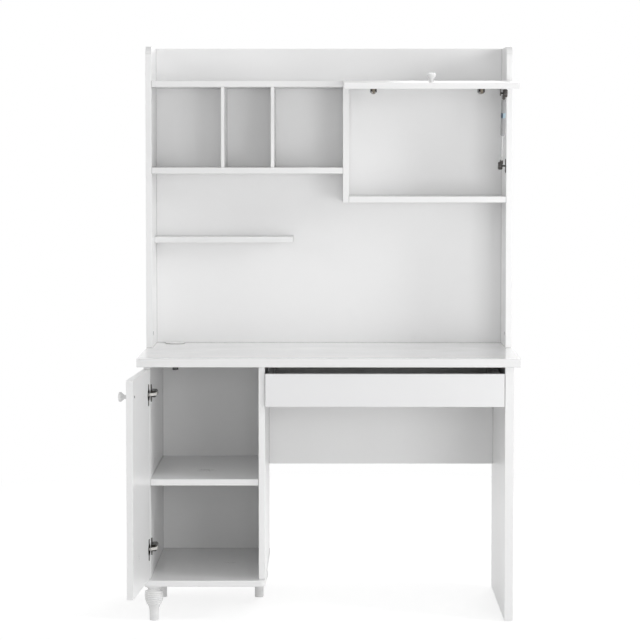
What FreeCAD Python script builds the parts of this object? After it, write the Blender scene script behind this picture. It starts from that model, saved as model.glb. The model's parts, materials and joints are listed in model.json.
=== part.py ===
import FreeCAD, Part
import math
import os

from FreeCAD import Placement, Rotation, Vector

# Student desk with a hutch: a cabinet on turned feet at the left, a leg panel at the
# right, a drawer between them, and a hutch with a lift-up flap held by a gas strut.
# Millimetres. While it is built, X = 0 is the middle of the worktop, Y = 0 its front
# edge, Z = 0 the floor, and +Y points to the wall. The finished desk is moved so that
# its origin is the middle of its outline on the floor, with the door and flap open.

# ---- worktop and boards ---------------------------------------------------------
DESK_WIDTH = 1100.0
DESK_DEPTH = 600.0
WORKTOP_HEIGHT = 760.0
WORKTOP_THICKNESS = 25.0
WORKTOP_EDGE_RADIUS = 2.0
BOARD = 18.0
BACK_BOARD = 9.0
DIVIDER_BOARD = 10.0
LEG_BOARD = 25.0
EDGE_RADIUS = 1.0

# ---- hutch ----------------------------------------------------------------------
HUTCH_HEIGHT = 905.0
HUTCH_DEPTH = 210.0
HUTCH_CORNER_RADIUS = 30.0
GALLERY_HEIGHT = 103.5
PIGEONHOLE_HEIGHT = 241.5
LEFT_PIGEONHOLE_WIDTH = 208.0
MIDDLE_PIGEONHOLE_WIDTH = 139.5
DIVIDER_SETBACK = 2.0
FLAP_BOX_WIDTH = 472.0
FLAP_BOX_HEIGHT = 328.5
FLOATING_SHELF_HEIGHT = 312.0
FLOATING_SHELF_LENGTH = 422.0
FLOATING_SHELF_DEPTH = 88.0

# ---- cabinet, leg and modesty panel ---------------------------------------------
CABINET_WIDTH = 348.0
LEFT_OVERHANG = 18.0
RIGHT_OVERHANG = 20.0
CABINET_SETBACK = 33.0
CARCASS_REAR_SETBACK = 9.0
LEG_SETBACK = 15.0
FOOT_HEIGHT = 101.0
BASE_BOARD = 18.0
BASE_SETBACK = 10.0
BASE_SIDE_OVERHANG = 2.0
BASE_CORNER_RADIUS = 14.0
BASE_EDGE_RADIUS = 3.0
CABINET_SHELF_HEIGHT = 408.0
CABINET_SHELF_SETBACK = 7.0
CABINET_SHELF_CLEARANCE = 1.0
MODESTY_HEIGHT = 345.0
MODESTY_SETBACK = 535.0

# ---- turned feet ----------------------------------------------------------------
FOOT_TOP_RADIUS = 26.0
FOOT_NECK_RADIUS = 17.5
FOOT_BULB_RADIUS = 26.3
FOOT_BULB_MIDDLE = 73.0
FOOT_BULB_CURVE = 0.0096
FOOT_TIP_RADIUS = 13.4
FOOT_TIP_HEIGHT = 27.0
FOOT_BEADS = 7
FOOT_BEAD_PITCH = 5.6
FOOT_BEAD_SWELL = 1.3
FOOT_BEADS_START = 46.5
FOOT_SIDE_INSET = 29.5
FOOT_FRONT_INSET = 28.5
REAR_FOOT_SETBACK = 407.0
FOOT_BOLT_RADIUS = 4.0
FOOT_BOLT_LENGTH = 36.0
GLIDE_RADIUS = 10.0
GLIDE_HEIGHT = 2.0
GLIDE_INSET = 40.0
NAIL_RADIUS = 1.2
NAIL_LENGTH = 14.0

# ---- door and flap --------------------------------------------------------------
PANEL_GAP = 3.0
HINGE_SIDE_GAP = 0.5
FREE_SIDE_GAP = 1.0
DOOR_TOP_GAP = 7.0
DOOR_BOTTOM_GAP = 4.0
DOOR_REST_ANGLE = 93.5
DOOR_LIMIT_ANGLE = 95.0
DOOR_TOP_HINGE_INSET = 73.0
DOOR_BOTTOM_HINGE_INSET = 86.0
FLAP_RIGHT_OVERLAY = 12.0
FLAP_REST_ANGLE = 87.5
FLAP_HINGE_INSET = 74.0
KNOB_INSET = 38.0
DOOR_KNOB_DROP = 49.0

# ---- concealed cup hinge --------------------------------------------------------
CUP_RADIUS = 17.5
CUP_DEPTH = 13.2
CUP_WALL = 0.8
CUP_EDGE_DISTANCE = 3.0
CUP_FLANGE = 1.2
CUP_FLANGE_RADIUS = 18.5
CUP_WING_SPAN = 62.0
CUP_WING_WIDTH = 16.0
CUP_SCREW_END = 7.0
CUP_BORE_CLEARANCE = 0.1
PIN_RADIUS = 1.0
PIN_EDGE_DISTANCE = 6.5
PIN_DEPTH = 10.0
PIN_CLEARANCE = 0.05
KNUCKLE_RADIUS = 1.85
KNUCKLE_WIDTH = 8.0
NECK_WIDTH = 8.0
NECK_THICKNESS = 1.8
NECK_REACH = 15.0
ARM_HEIGHT = 17.0
ARM_WIDTH = 19.0
ARM_TAPER = 4.5
ARM_LENGTH = 58.0
ARM_START = 6.0
ARM_SHEET = 1.2
ARM_SCREW_SETBACK = 50.0
PLATE_THICKNESS = 2.7
PLATE_SETBACK = 37.0
PLATE_SPAN = 50.0
PLATE_WIDTH = 14.0
PLATE_SCREW_END = 9.0
HINGE_FIT = 0.3

# ---- screws, knobs and fixings --------------------------------------------------
SCREW_HEAD_RADIUS = 3.8
SCREW_HEAD_HEIGHT = 1.0
SCREW_RADIUS = 1.75
SCREW_LENGTH = 12.0
SCREW_CLEARANCE = 0.1
KNOB_RADIUS = 13.8
KNOB_HEIGHT = 27.0
KNOB_RIM = 9.0
KNOB_DOME = 2.4
KNOB_NECK_RADIUS = 5.6
KNOB_FOOT_RADIUS = 8.0
KNOB_SCREW_RADIUS = 2.0
KNOB_SCREW_GRIP = 12.0
CAM_RADIUS = 7.4
CAM_DEPTH = 12.5
CAM_HEIGHT = 39.5
CAM_SETBACK = 50.0
CAM_BOLT_RADIUS = 3.0
CAM_BOLT_ANCHOR = 12.0
CAM_CLEARANCE = 0.1
DOWEL_RADIUS = 4.0
DOWEL_LENGTH = 30.0
DOWEL_IN_SIDE = 11.0
DOWEL_CLEARANCE = 0.1
DOWEL_INSET = 45.0
HUTCH_DOWEL_SETBACK = 160.0
SHELF_PIN_RADIUS = 2.5
SHELF_PIN_LENGTH = 16.0
SHELF_PIN_INSET = 45.0
GROMMET_RADIUS = 29.5
GROMMET_TUBE_RADIUS = 25.0
GROMMET_WALL = 1.6
GROMMET_FLANGE = 2.5
GROMMET_SIDE_DISTANCE = 76.0
GROMMET_WALL_DISTANCE = 44.0
GROMMET_SLOT_RADIUS = 9.0
GROMMET_CAP = 2.0
GROMMET_FIT = 0.2
CLAMP_NUT_RADIUS = 8.5
CLAMP_NUT_HEIGHT = 14.0
CLAMP_NUT_SIDE_DISTANCE = 71.0
CLAMP_NUT_SETBACK = 78.0

# ---- gas strut ------------------------------------------------------------------
STRUT_SIDE_DISTANCE = 13.5
STRUT_WALL_DROP = 254.5
STRUT_WALL_SETBACK = 15.0
STRUT_FLAP_REACH = 75.5
STRUT_FLAP_STANDOFF = 18.5
BALL_RADIUS = 4.0
STUD_RADIUS = 2.5
STUD_LENGTH = 6.5
BALL_CLEARANCE = 0.1
SOCKET_RADIUS = 7.0
SOCKET_OFFSET = 3.5
SOCKET_TAIL = 10.0
SOCKET_BODY = 11.0
SOCKET_GAP = 0.3
COLLAR_RADIUS = 4.8
COLLAR_END = 19.0
ROD_RADIUS = 2.5
ROD_SLEEVE_RADIUS = 3.3
ROD_SLEEVE_LENGTH = 13.0
CYLINDER_RADIUS = 6.8
CYLINDER_WALL = 1.1
CYLINDER_LENGTH = 113.0
CYLINDER_GUIDE = 9.0
CYLINDER_NECK_RADIUS = 4.0
CYLINDER_NECK = 5.0
PISTON_LENGTH = 6.0
PISTON_CLEARANCE = 0.15
STRUT_PLATE = 2.0
STRUT_PLATE_SPAN = 42.0
STRUT_PLATE_WIDTH = 16.0
STRUT_PLATE_SCREW_END = 7.0

# ---- drawer and runners ---------------------------------------------------------
DRAWER_TOP_GAP = 20.0
DRAWER_FRONT_HEIGHT = 95.0
DRAWER_FRONT_GAP = 1.5
DRAWER_BOARD = 15.0
DRAWER_SIDE_HEIGHT = 82.0
DRAWER_SIDE_DROP = 3.0
DRAWER_DEPTH = 430.0
DRAWER_BOTTOM = 6.0
DRAWER_BOTTOM_LIFT = 10.0
DRAWER_GROOVE = 6.0
DRAWER_GROOVE_CLEARANCE = 0.1
DRAWER_TRAVEL = 300.0
RUNNER_GAP = 10.0
RUNNER_LENGTH = 400.0
RUNNER_SETBACK = 7.0
RUNNER_HEIGHT = 27.0
RUNNER_INNER_HEIGHT = 16.0
RUNNER_SHEET = 1.2
RUNNER_LIP = 1.3
BALL_BEARING_RADIUS = 2.1
BALLS_PER_ROW = 5
CAGE_LENGTH = 96.0
CAGE_SHEET = 0.6
CAGE_RATIO = 0.5

X_AXIS = Vector(1, 0, 0)
Y_AXIS = Vector(0, 1, 0)
Z_AXIS = Vector(0, 0, 1)
TINY = 0.001

# ---- places worked out from the sizes above -------------------------------------
half_width = DESK_WIDTH / 2
worktop_under = WORKTOP_HEIGHT - WORKTOP_THICKNESS
hutch_front = DESK_DEPTH - HUTCH_DEPTH
hutch_inner = half_width - BOARD
hutch_top = WORKTOP_HEIGHT + HUTCH_HEIGHT
back_front = DESK_DEPTH - BACK_BOARD
top_shelf_top = hutch_top - GALLERY_HEIGHT
top_shelf_under = top_shelf_top - BOARD
pigeonhole_floor = top_shelf_under - PIGEONHOLE_HEIGHT
flap_box_floor_top = top_shelf_under - FLAP_BOX_HEIGHT
flap_box_floor_under = flap_box_floor_top - BOARD
flap_box_inner = hutch_inner - FLAP_BOX_WIDTH
flap_box_outer = flap_box_inner - BOARD
left_divider = -hutch_inner + LEFT_PIGEONHOLE_WIDTH
right_divider = left_divider + DIVIDER_BOARD + MIDDLE_PIGEONHOLE_WIDTH

cabinet_left = LEFT_OVERHANG - half_width
cabinet_right = cabinet_left + CABINET_WIDTH
cabinet_inner_left = cabinet_left + BOARD
cabinet_inner_right = cabinet_right - BOARD
cabinet_rear = DESK_DEPTH - CARCASS_REAR_SETBACK
cabinet_back_front = cabinet_rear - BACK_BOARD
base_top = FOOT_HEIGHT + BASE_BOARD
leg_outer = half_width - RIGHT_OVERHANG
leg_inner = leg_outer - LEG_BOARD
modesty_bottom = worktop_under - MODESTY_HEIGHT

pin_x = HINGE_SIDE_GAP + PIN_EDGE_DISTANCE
pin_y = -(PANEL_GAP + PIN_DEPTH)
cup_x = HINGE_SIDE_GAP + CUP_EDGE_DISTANCE + CUP_RADIUS
cup_hollow_radius = CUP_RADIUS - CUP_WALL
door_bottom = base_top + DOOR_BOTTOM_GAP
door_top = worktop_under - DOOR_TOP_GAP
door_hinge_heights = (door_bottom + DOOR_BOTTOM_HINGE_INSET, door_top - DOOR_TOP_HINGE_INSET)
door_pin = Vector(cabinet_left + pin_x, CABINET_SETBACK + pin_y, 0)
flap_pin = Vector(0, hutch_front + pin_y, top_shelf_top - pin_x)
flap_left = flap_box_outer + HINGE_SIDE_GAP
flap_right = hutch_inner + FLAP_RIGHT_OVERLAY
flap_hinge_places = (flap_box_inner + FLAP_HINGE_INSET, hutch_inner - FLAP_HINGE_INSET)

drawer_top = worktop_under - DRAWER_TOP_GAP
drawer_left = cabinet_right + RUNNER_GAP
drawer_right = leg_inner - RUNNER_GAP
drawer_side_top = drawer_top - DRAWER_SIDE_DROP
drawer_side_bottom = drawer_side_top - DRAWER_SIDE_HEIGHT
drawer_inner_front = LEG_SETBACK + BOARD
runner_front = drawer_inner_front + RUNNER_SETBACK
runner_height = (drawer_side_top + drawer_side_bottom) / 2

# Each dictionary holds the pieces of one rigid body, by name.
carcass = {}
door = {}
flap = {}
drawer = {}
strut_lower = {}
strut_upper = {}
left_cage = {}
right_cage = {}


# ---- small helpers --------------------------------------------------------------
def box(x0, x1, y0, y1, z0, z1):
    """A block between two corners."""
    return Part.makeBox(x1 - x0, y1 - y0, z1 - z0, Vector(x0, y0, z0))


def rod(start, direction, radius, length):
    """A cylinder that starts at a point and runs along a direction."""
    return Part.makeCylinder(radius, length, start, direction)


def runs_along(edge, axis):
    """True for a straight edge parallel to an axis."""
    if len(edge.Vertexes) != 2:
        return False
    span = edge.Vertexes[1].Point - edge.Vertexes[0].Point
    return span.cross(axis).Length < TINY


def ease_front(board, axis, radius=EDGE_RADIUS):
    """Round the two long front edges of a board."""
    front = board.BoundBox.YMin
    edges = [edge for edge in board.Edges
             if edge.BoundBox.YMax < front + TINY and runs_along(edge, axis)]
    return board.makeFillet(radius, edges)


def ease_all(board, radius=EDGE_RADIUS):
    """Round every edge of a board, as an edge band or a painted board is."""
    return board.makeFillet(radius, board.Edges)


def ribbon(points, thickness):
    """A strip of even thickness along a bent line, as a flat face in the XY plane."""
    half = thickness / 2
    left = []
    right = []
    for index, point in enumerate(points):
        before = points[max(index - 1, 0)]
        after = points[min(index + 1, len(points) - 1)]
        incoming = (point - before) if index > 0 else (after - point)
        outgoing = (after - point) if index < len(points) - 1 else incoming
        incoming = Vector(incoming).normalize()
        outgoing = Vector(outgoing).normalize()
        bisector = Vector(incoming + outgoing).normalize()
        normal = Vector(-bisector.y, bisector.x, 0)
        reach = half / bisector.dot(outgoing)
        left.append(point + normal * reach)
        right.append(point - normal * reach)
    outline = left + right[::-1]
    return Part.Face(Part.makePolygon(outline + outline[:1]))


def arc(start, through, end):
    """An arc through three points, as an edge."""
    return Part.Arc(start, through, end).toShape()


def turned(edges):
    """A solid of revolution about Z from a closed profile drawn in the XZ plane."""
    profile = Part.Face(Part.Wire(edges))
    return profile.revolve(Vector(0, 0, 0), Z_AXIS, 360)


def screw(seat, direction, length=SCREW_LENGTH, radius=SCREW_RADIUS, head=SCREW_HEAD_RADIUS):
    """A screw whose domed head sits on a face; direction runs into the material."""
    inward = Vector(direction).normalize()
    crown = seat - inward * SCREW_HEAD_HEIGHT
    dome = Part.makeCone(head * 0.6, head, SCREW_HEAD_HEIGHT, crown, inward)
    return dome.fuse(rod(seat, inward, radius, length))


def screw_hole(seat, direction, length=SCREW_LENGTH, radius=SCREW_RADIUS):
    """The pilot hole that takes a screw."""
    inward = Vector(direction).normalize()
    return rod(seat, inward, radius + SCREW_CLEARANCE, length + SCREW_CLEARANCE)


def drill(body, name, tool):
    """Cut a tool out of a piece that is already in a body."""
    body[name] = body[name].cut(tool)


# ---- worktop, cable grommet and clamp nut ---------------------------------------
grommet_x = -hutch_inner + GROMMET_SIDE_DISTANCE - BOARD
grommet_y = DESK_DEPTH - GROMMET_WALL_DISTANCE


def make_worktop():
    top = box(-half_width, half_width, 0, DESK_DEPTH, worktop_under, WORKTOP_HEIGHT)
    top = ease_all(top, WORKTOP_EDGE_RADIUS)
    bore = rod(Vector(grommet_x, grommet_y, worktop_under), Z_AXIS,
               GROMMET_TUBE_RADIUS + GROMMET_FIT, WORKTOP_THICKNESS)
    return top.cut(bore)


def make_grommet():
    """A flanged liner through the worktop and its cap with a notch for cables."""
    foot = Vector(grommet_x, grommet_y, worktop_under)
    deck = Vector(grommet_x, grommet_y, WORKTOP_HEIGHT)
    tube = rod(foot, Z_AXIS, GROMMET_TUBE_RADIUS, WORKTOP_THICKNESS + GROMMET_FLANGE)
    flange = rod(deck, Z_AXIS, GROMMET_RADIUS, GROMMET_FLANGE)
    rim = [edge for edge in flange.Edges
           if edge.BoundBox.ZMin > WORKTOP_HEIGHT + GROMMET_FLANGE - TINY]
    flange = flange.makeFillet(GROMMET_FLANGE / 2, rim)
    liner = tube.fuse(flange)
    ledge_z = WORKTOP_HEIGHT + GROMMET_FLANGE - GROMMET_CAP
    liner = liner.cut(rod(foot, Z_AXIS, GROMMET_TUBE_RADIUS - 2 * GROMMET_WALL,
                          WORKTOP_THICKNESS + GROMMET_FLANGE))
    seat = Vector(grommet_x, grommet_y, ledge_z)
    liner = liner.cut(rod(seat, Z_AXIS, GROMMET_TUBE_RADIUS - GROMMET_WALL + GROMMET_FIT,
                          GROMMET_CAP))
    cap = rod(seat, Z_AXIS, GROMMET_TUBE_RADIUS - GROMMET_WALL, GROMMET_CAP)
    notch_y = grommet_y + GROMMET_TUBE_RADIUS - GROMMET_WALL
    notch = rod(Vector(grommet_x, notch_y, ledge_z), Z_AXIS, GROMMET_SLOT_RADIUS, GROMMET_CAP)
    return liner, cap.cut(notch)


def make_clamp_nut():
    """A slotted round nut that hangs under the worktop inside the cabinet."""
    place = Vector(cabinet_inner_left + CLAMP_NUT_SIDE_DISTANCE, CLAMP_NUT_SETBACK,
                   worktop_under - CLAMP_NUT_HEIGHT)
    nut = rod(place, Z_AXIS, CLAMP_NUT_RADIUS, CLAMP_NUT_HEIGHT)
    lower = [edge for edge in nut.Edges if edge.BoundBox.ZMax < place.z + TINY]
    nut = nut.makeChamfer(EDGE_RADIUS, lower)
    slot = box(-CLAMP_NUT_RADIUS, CLAMP_NUT_RADIUS, -EDGE_RADIUS, EDGE_RADIUS, 0, 3)
    slot.Placement = Placement(place, Rotation(Z_AXIS, 45))
    return nut.cut(slot)


carcass["worktop"] = make_worktop()
carcass["cable_grommet_liner"], carcass["cable_grommet_cap"] = make_grommet()
carcass["worktop_clamp_nut"] = make_clamp_nut()


# ---- hutch boards ---------------------------------------------------------------
def make_hutch_side(outer, inner):
    """A side board with a rounded upper front corner."""
    side = box(outer, inner, hutch_front, DESK_DEPTH, WORKTOP_HEIGHT, hutch_top)
    corner = [edge for edge in side.Edges
              if runs_along(edge, X_AXIS)
              and edge.BoundBox.YMax < hutch_front + TINY
              and edge.BoundBox.ZMin > hutch_top - TINY]
    side = side.makeFillet(HUTCH_CORNER_RADIUS, corner)
    front = [edge for edge in side.Edges
             if edge.BoundBox.YMax < hutch_front + HUTCH_CORNER_RADIUS + TINY
             and edge.BoundBox.XLength < TINY
             and edge.BoundBox.ZMin > WORKTOP_HEIGHT - TINY]
    return side.makeFillet(EDGE_RADIUS, front)


def make_hutch_shelf(x0, x1, under, front=hutch_front, thickness=BOARD):
    """A level board that runs back to the hutch's back panel."""
    board = box(x0, x1, front, back_front, under, under + thickness)
    return ease_front(board, X_AXIS)


def make_divider(x):
    divider = box(x, x + DIVIDER_BOARD, hutch_front + DIVIDER_SETBACK, back_front,
                  pigeonhole_floor, top_shelf_under)
    return ease_front(divider, Z_AXIS)


carcass["hutch_left_side"] = make_hutch_side(-half_width, -hutch_inner)
carcass["hutch_right_side"] = make_hutch_side(hutch_inner, half_width)
carcass["hutch_back_panel"] = box(-hutch_inner, hutch_inner, back_front, DESK_DEPTH,
                                  WORKTOP_HEIGHT, hutch_top)
carcass["hutch_top_shelf"] = make_hutch_shelf(-hutch_inner, hutch_inner, top_shelf_under)
carcass["flap_box_side"] = ease_front(
    box(flap_box_outer, flap_box_inner, hutch_front, back_front,
        flap_box_floor_under, top_shelf_under), Z_AXIS)
carcass["flap_box_floor"] = make_hutch_shelf(flap_box_inner, hutch_inner, flap_box_floor_under)
carcass["pigeonhole_shelf"] = make_hutch_shelf(-hutch_inner, flap_box_outer,
                                               pigeonhole_floor - BOARD)
carcass["pigeonhole_divider_left"] = make_divider(left_divider)
carcass["pigeonhole_divider_right"] = make_divider(right_divider)
carcass["floating_shelf"] = make_hutch_shelf(
    -hutch_inner, FLOATING_SHELF_LENGTH - hutch_inner,
    WORKTOP_HEIGHT + FLOATING_SHELF_HEIGHT, back_front - FLOATING_SHELF_DEPTH)


# ---- cabinet, leg and modesty panel ---------------------------------------------
def make_base_board():
    """The board under the cabinet, with rounded front corners and a soft edge."""
    base = box(cabinet_left - BASE_SIDE_OVERHANG, cabinet_right + BASE_SIDE_OVERHANG,
               BASE_SETBACK, cabinet_rear, FOOT_HEIGHT, base_top)
    corners = [edge for edge in base.Edges
               if runs_along(edge, Z_AXIS) and edge.BoundBox.YMax < BASE_SETBACK + TINY]
    base = base.makeFillet(BASE_CORNER_RADIUS, corners)
    rim = [edge for edge in base.Edges
           if edge.BoundBox.ZLength < TINY and edge.BoundBox.YMin < cabinet_rear - TINY]
    return base.makeFillet(BASE_EDGE_RADIUS, rim)


def make_cabinet_side(outer):
    side = box(outer, outer + BOARD, CABINET_SETBACK, cabinet_rear, base_top, worktop_under)
    return ease_front(side, Z_AXIS)


shelf_under = CABINET_SHELF_HEIGHT - BOARD
carcass["cabinet_base_board"] = make_base_board()
carcass["cabinet_left_side"] = make_cabinet_side(cabinet_left)
carcass["cabinet_right_side"] = make_cabinet_side(cabinet_inner_right)
carcass["cabinet_back_panel"] = box(cabinet_inner_left, cabinet_inner_right,
                                    cabinet_back_front, cabinet_rear, base_top, worktop_under)
carcass["cabinet_shelf"] = ease_front(
    box(cabinet_inner_left + CABINET_SHELF_CLEARANCE,
        cabinet_inner_right - CABINET_SHELF_CLEARANCE,
        CABINET_SETBACK + CABINET_SHELF_SETBACK, cabinet_back_front - CABINET_SHELF_CLEARANCE,
        shelf_under, CABINET_SHELF_HEIGHT), X_AXIS)
carcass["right_leg_panel"] = ease_front(
    box(leg_inner, leg_outer, LEG_SETBACK, cabinet_rear, GLIDE_HEIGHT, worktop_under), Z_AXIS)
carcass["modesty_panel"] = box(cabinet_right, leg_inner, MODESTY_SETBACK,
                               MODESTY_SETBACK + BOARD, modesty_bottom, worktop_under)


# ---- shelf pins -----------------------------------------------------------------
def make_shelf_pins():
    """Four round pins, half in the cabinet sides and half under the shelf."""
    pins = []
    half = SHELF_PIN_LENGTH / 2
    height = shelf_under - SHELF_PIN_RADIUS
    shelf_front = CABINET_SETBACK + CABINET_SHELF_SETBACK
    for y in (shelf_front + SHELF_PIN_INSET, cabinet_back_front - SHELF_PIN_INSET):
        for name, x, side in (("cabinet_left_side", cabinet_inner_left, 1),
                              ("cabinet_right_side", cabinet_inner_right, -1)):
            start = Vector(x - side * half, y, height)
            pins.append(rod(start, X_AXIS * side, SHELF_PIN_RADIUS, SHELF_PIN_LENGTH))
            drill(carcass, name, rod(start, X_AXIS * side,
                                     SHELF_PIN_RADIUS + DOWEL_CLEARANCE, half + TINY))
    return Part.makeCompound(pins)


carcass["shelf_pins"] = make_shelf_pins()


# ---- turned feet, their bolts and the leg's glides ------------------------------
def foot_envelope(z):
    """Radius of the swelling bulb at a height above the floor."""
    return FOOT_BULB_RADIUS - FOOT_BULB_CURVE * (z - FOOT_BULB_MIDDLE) ** 2


def make_foot(x, y):
    """A turned foot: a straight tip, a ringed bulb, a neck and a round top plate."""
    tip_edge = 2.0
    ring_top = FOOT_BEADS_START + FOOT_BEADS * FOOT_BEAD_PITCH
    neck_z = ring_top + 3.5
    plate_z = FOOT_HEIGHT - 4.0
    first = Vector(foot_envelope(FOOT_BEADS_START), 0, FOOT_BEADS_START)
    tip_top = Vector(FOOT_TIP_RADIUS, 0, FOOT_TIP_HEIGHT)
    edges = [
        Part.makeLine(Vector(0, 0, 0), Vector(FOOT_TIP_RADIUS - tip_edge, 0, 0)),
        arc(Vector(FOOT_TIP_RADIUS - tip_edge, 0, 0),
            Vector(FOOT_TIP_RADIUS - 0.3 * tip_edge, 0, 0.3 * tip_edge),
            Vector(FOOT_TIP_RADIUS, 0, tip_edge)),
        Part.makeLine(Vector(FOOT_TIP_RADIUS, 0, tip_edge), tip_top),
        arc(tip_top,
            Vector(FOOT_TIP_RADIUS + 0.38 * (first.x - FOOT_TIP_RADIUS), 0,
                   FOOT_TIP_HEIGHT + 0.55 * (FOOT_BEADS_START - FOOT_TIP_HEIGHT)),
            first),
    ]
    corner = first
    for bead in range(FOOT_BEADS):
        z = FOOT_BEADS_START + bead * FOOT_BEAD_PITCH
        middle = z + FOOT_BEAD_PITCH / 2
        upper = z + FOOT_BEAD_PITCH
        end = Vector(foot_envelope(upper), 0, upper)
        edges.append(arc(corner, Vector(foot_envelope(middle) + FOOT_BEAD_SWELL, 0, middle), end))
        corner = end
    neck = Vector(FOOT_NECK_RADIUS, 0, neck_z)
    plate = Vector(FOOT_TOP_RADIUS - 1.0, 0, plate_z)
    edges += [
        Part.makeLine(corner, neck),
        arc(neck,
            Vector(FOOT_NECK_RADIUS + 0.3 * (plate.x - FOOT_NECK_RADIUS), 0,
                   neck_z + 0.68 * (plate_z - neck_z)),
            plate),
        Part.makeLine(plate, Vector(FOOT_TOP_RADIUS, 0, plate_z + 1.0)),
        Part.makeLine(Vector(FOOT_TOP_RADIUS, 0, plate_z + 1.0),
                      Vector(FOOT_TOP_RADIUS, 0, FOOT_HEIGHT)),
        Part.makeLine(Vector(FOOT_TOP_RADIUS, 0, FOOT_HEIGHT), Vector(0, 0, FOOT_HEIGHT)),
        Part.makeLine(Vector(0, 0, FOOT_HEIGHT), Vector(0, 0, 0)),
    ]
    foot = turned(edges)
    foot.translate(Vector(x, y, 0))
    return foot


def make_feet():
    """Three turned feet, each held by a bolt that runs up into the base board."""
    left = cabinet_left - BASE_SIDE_OVERHANG + FOOT_SIDE_INSET
    right = cabinet_right + BASE_SIDE_OVERHANG - FOOT_SIDE_INSET
    front = BASE_SETBACK + FOOT_FRONT_INSET
    places = {"foot_front_left": (left, front),
              "foot_rear_left": (left, REAR_FOOT_SETBACK),
              "foot_rear_right": (right, REAR_FOOT_SETBACK)}
    bolts = []
    bolt_top = base_top - BASE_EDGE_RADIUS
    for name, (x, y) in places.items():
        start = Vector(x, y, bolt_top - FOOT_BOLT_LENGTH)
        bolts.append(rod(start, Z_AXIS, FOOT_BOLT_RADIUS, FOOT_BOLT_LENGTH))
        hole = rod(start, Z_AXIS, FOOT_BOLT_RADIUS + DOWEL_CLEARANCE, FOOT_BOLT_LENGTH)
        carcass[name] = make_foot(x, y).cut(hole)
        drill(carcass, "cabinet_base_board", hole)
    carcass["foot_bolts"] = Part.makeCompound(bolts)


def make_leg_glides():
    """Two nail-on glides that the leg panel stands on."""
    glides = []
    x = (leg_inner + leg_outer) / 2
    for y in (LEG_SETBACK + GLIDE_INSET, cabinet_rear - GLIDE_INSET):
        head = rod(Vector(x, y, 0), Z_AXIS, GLIDE_RADIUS, GLIDE_HEIGHT)
        floor_rim = [edge for edge in head.Edges if edge.BoundBox.ZMax < TINY]
        head = head.makeFillet(GLIDE_HEIGHT / 2, floor_rim)
        nail = rod(Vector(x, y, GLIDE_HEIGHT), Z_AXIS, NAIL_RADIUS, NAIL_LENGTH)
        glides.append(head.fuse(nail))
        drill(carcass, "right_leg_panel",
              rod(Vector(x, y, GLIDE_HEIGHT), Z_AXIS, NAIL_RADIUS + SCREW_CLEARANCE,
                  NAIL_LENGTH + SCREW_CLEARANCE))
    return Part.makeCompound(glides)


make_feet()
carcass["leg_glides"] = make_leg_glides()


# ---- cams and bolts that hold the hutch, and hidden dowels ----------------------
def make_cams():
    """A cam lock in each hutch side, turned over a bolt that stands in the worktop."""
    cams = []
    bolts = []
    y = hutch_front + CAM_SETBACK
    for name, inner, side in (("hutch_left_side", -hutch_inner, -1),
                              ("hutch_right_side", hutch_inner, 1)):
        outward = X_AXIS * side
        face = Vector(inner, y, WORKTOP_HEIGHT + CAM_HEIGHT)
        cam = rod(face, outward, CAM_RADIUS, CAM_DEPTH)
        for angle in (45, 135):
            slot = box(-1.5, 1.5, -0.6, 0.6, -4.5, 4.5)
            slot.Placement = Placement(face, Rotation(X_AXIS, angle))
            cam = cam.cut(slot)
        cams.append(cam)
        drill(carcass, name, rod(face, outward, CAM_RADIUS + CAM_CLEARANCE, CAM_DEPTH))
        foot = Vector(inner + side * BOARD / 2, y, WORKTOP_HEIGHT - CAM_BOLT_ANCHOR)
        length = CAM_BOLT_ANCHOR + CAM_HEIGHT - CAM_RADIUS - 2 * CAM_CLEARANCE
        bolts.append(rod(foot, Z_AXIS, CAM_BOLT_RADIUS, length))
        hole = rod(foot, Z_AXIS, CAM_BOLT_RADIUS + CAM_CLEARANCE, length + CAM_RADIUS)
        drill(carcass, name, hole)
        drill(carcass, "worktop", hole)
    carcass["hutch_cams"] = Part.makeCompound(cams)
    carcass["hutch_cam_bolts"] = Part.makeCompound(bolts)


def add_dowel(dowels, joint, side_name, board_name, into_side):
    """One dowel across the joint between a board's end and a side board's face."""
    start = joint + into_side * DOWEL_IN_SIDE
    dowels.append(rod(start, into_side * -1, DOWEL_RADIUS, DOWEL_LENGTH))
    hole = rod(start + into_side * DOWEL_CLEARANCE, into_side * -1,
               DOWEL_RADIUS + DOWEL_CLEARANCE, DOWEL_LENGTH + 2 * DOWEL_CLEARANCE)
    drill(carcass, side_name, hole)
    drill(carcass, board_name, hole)


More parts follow.
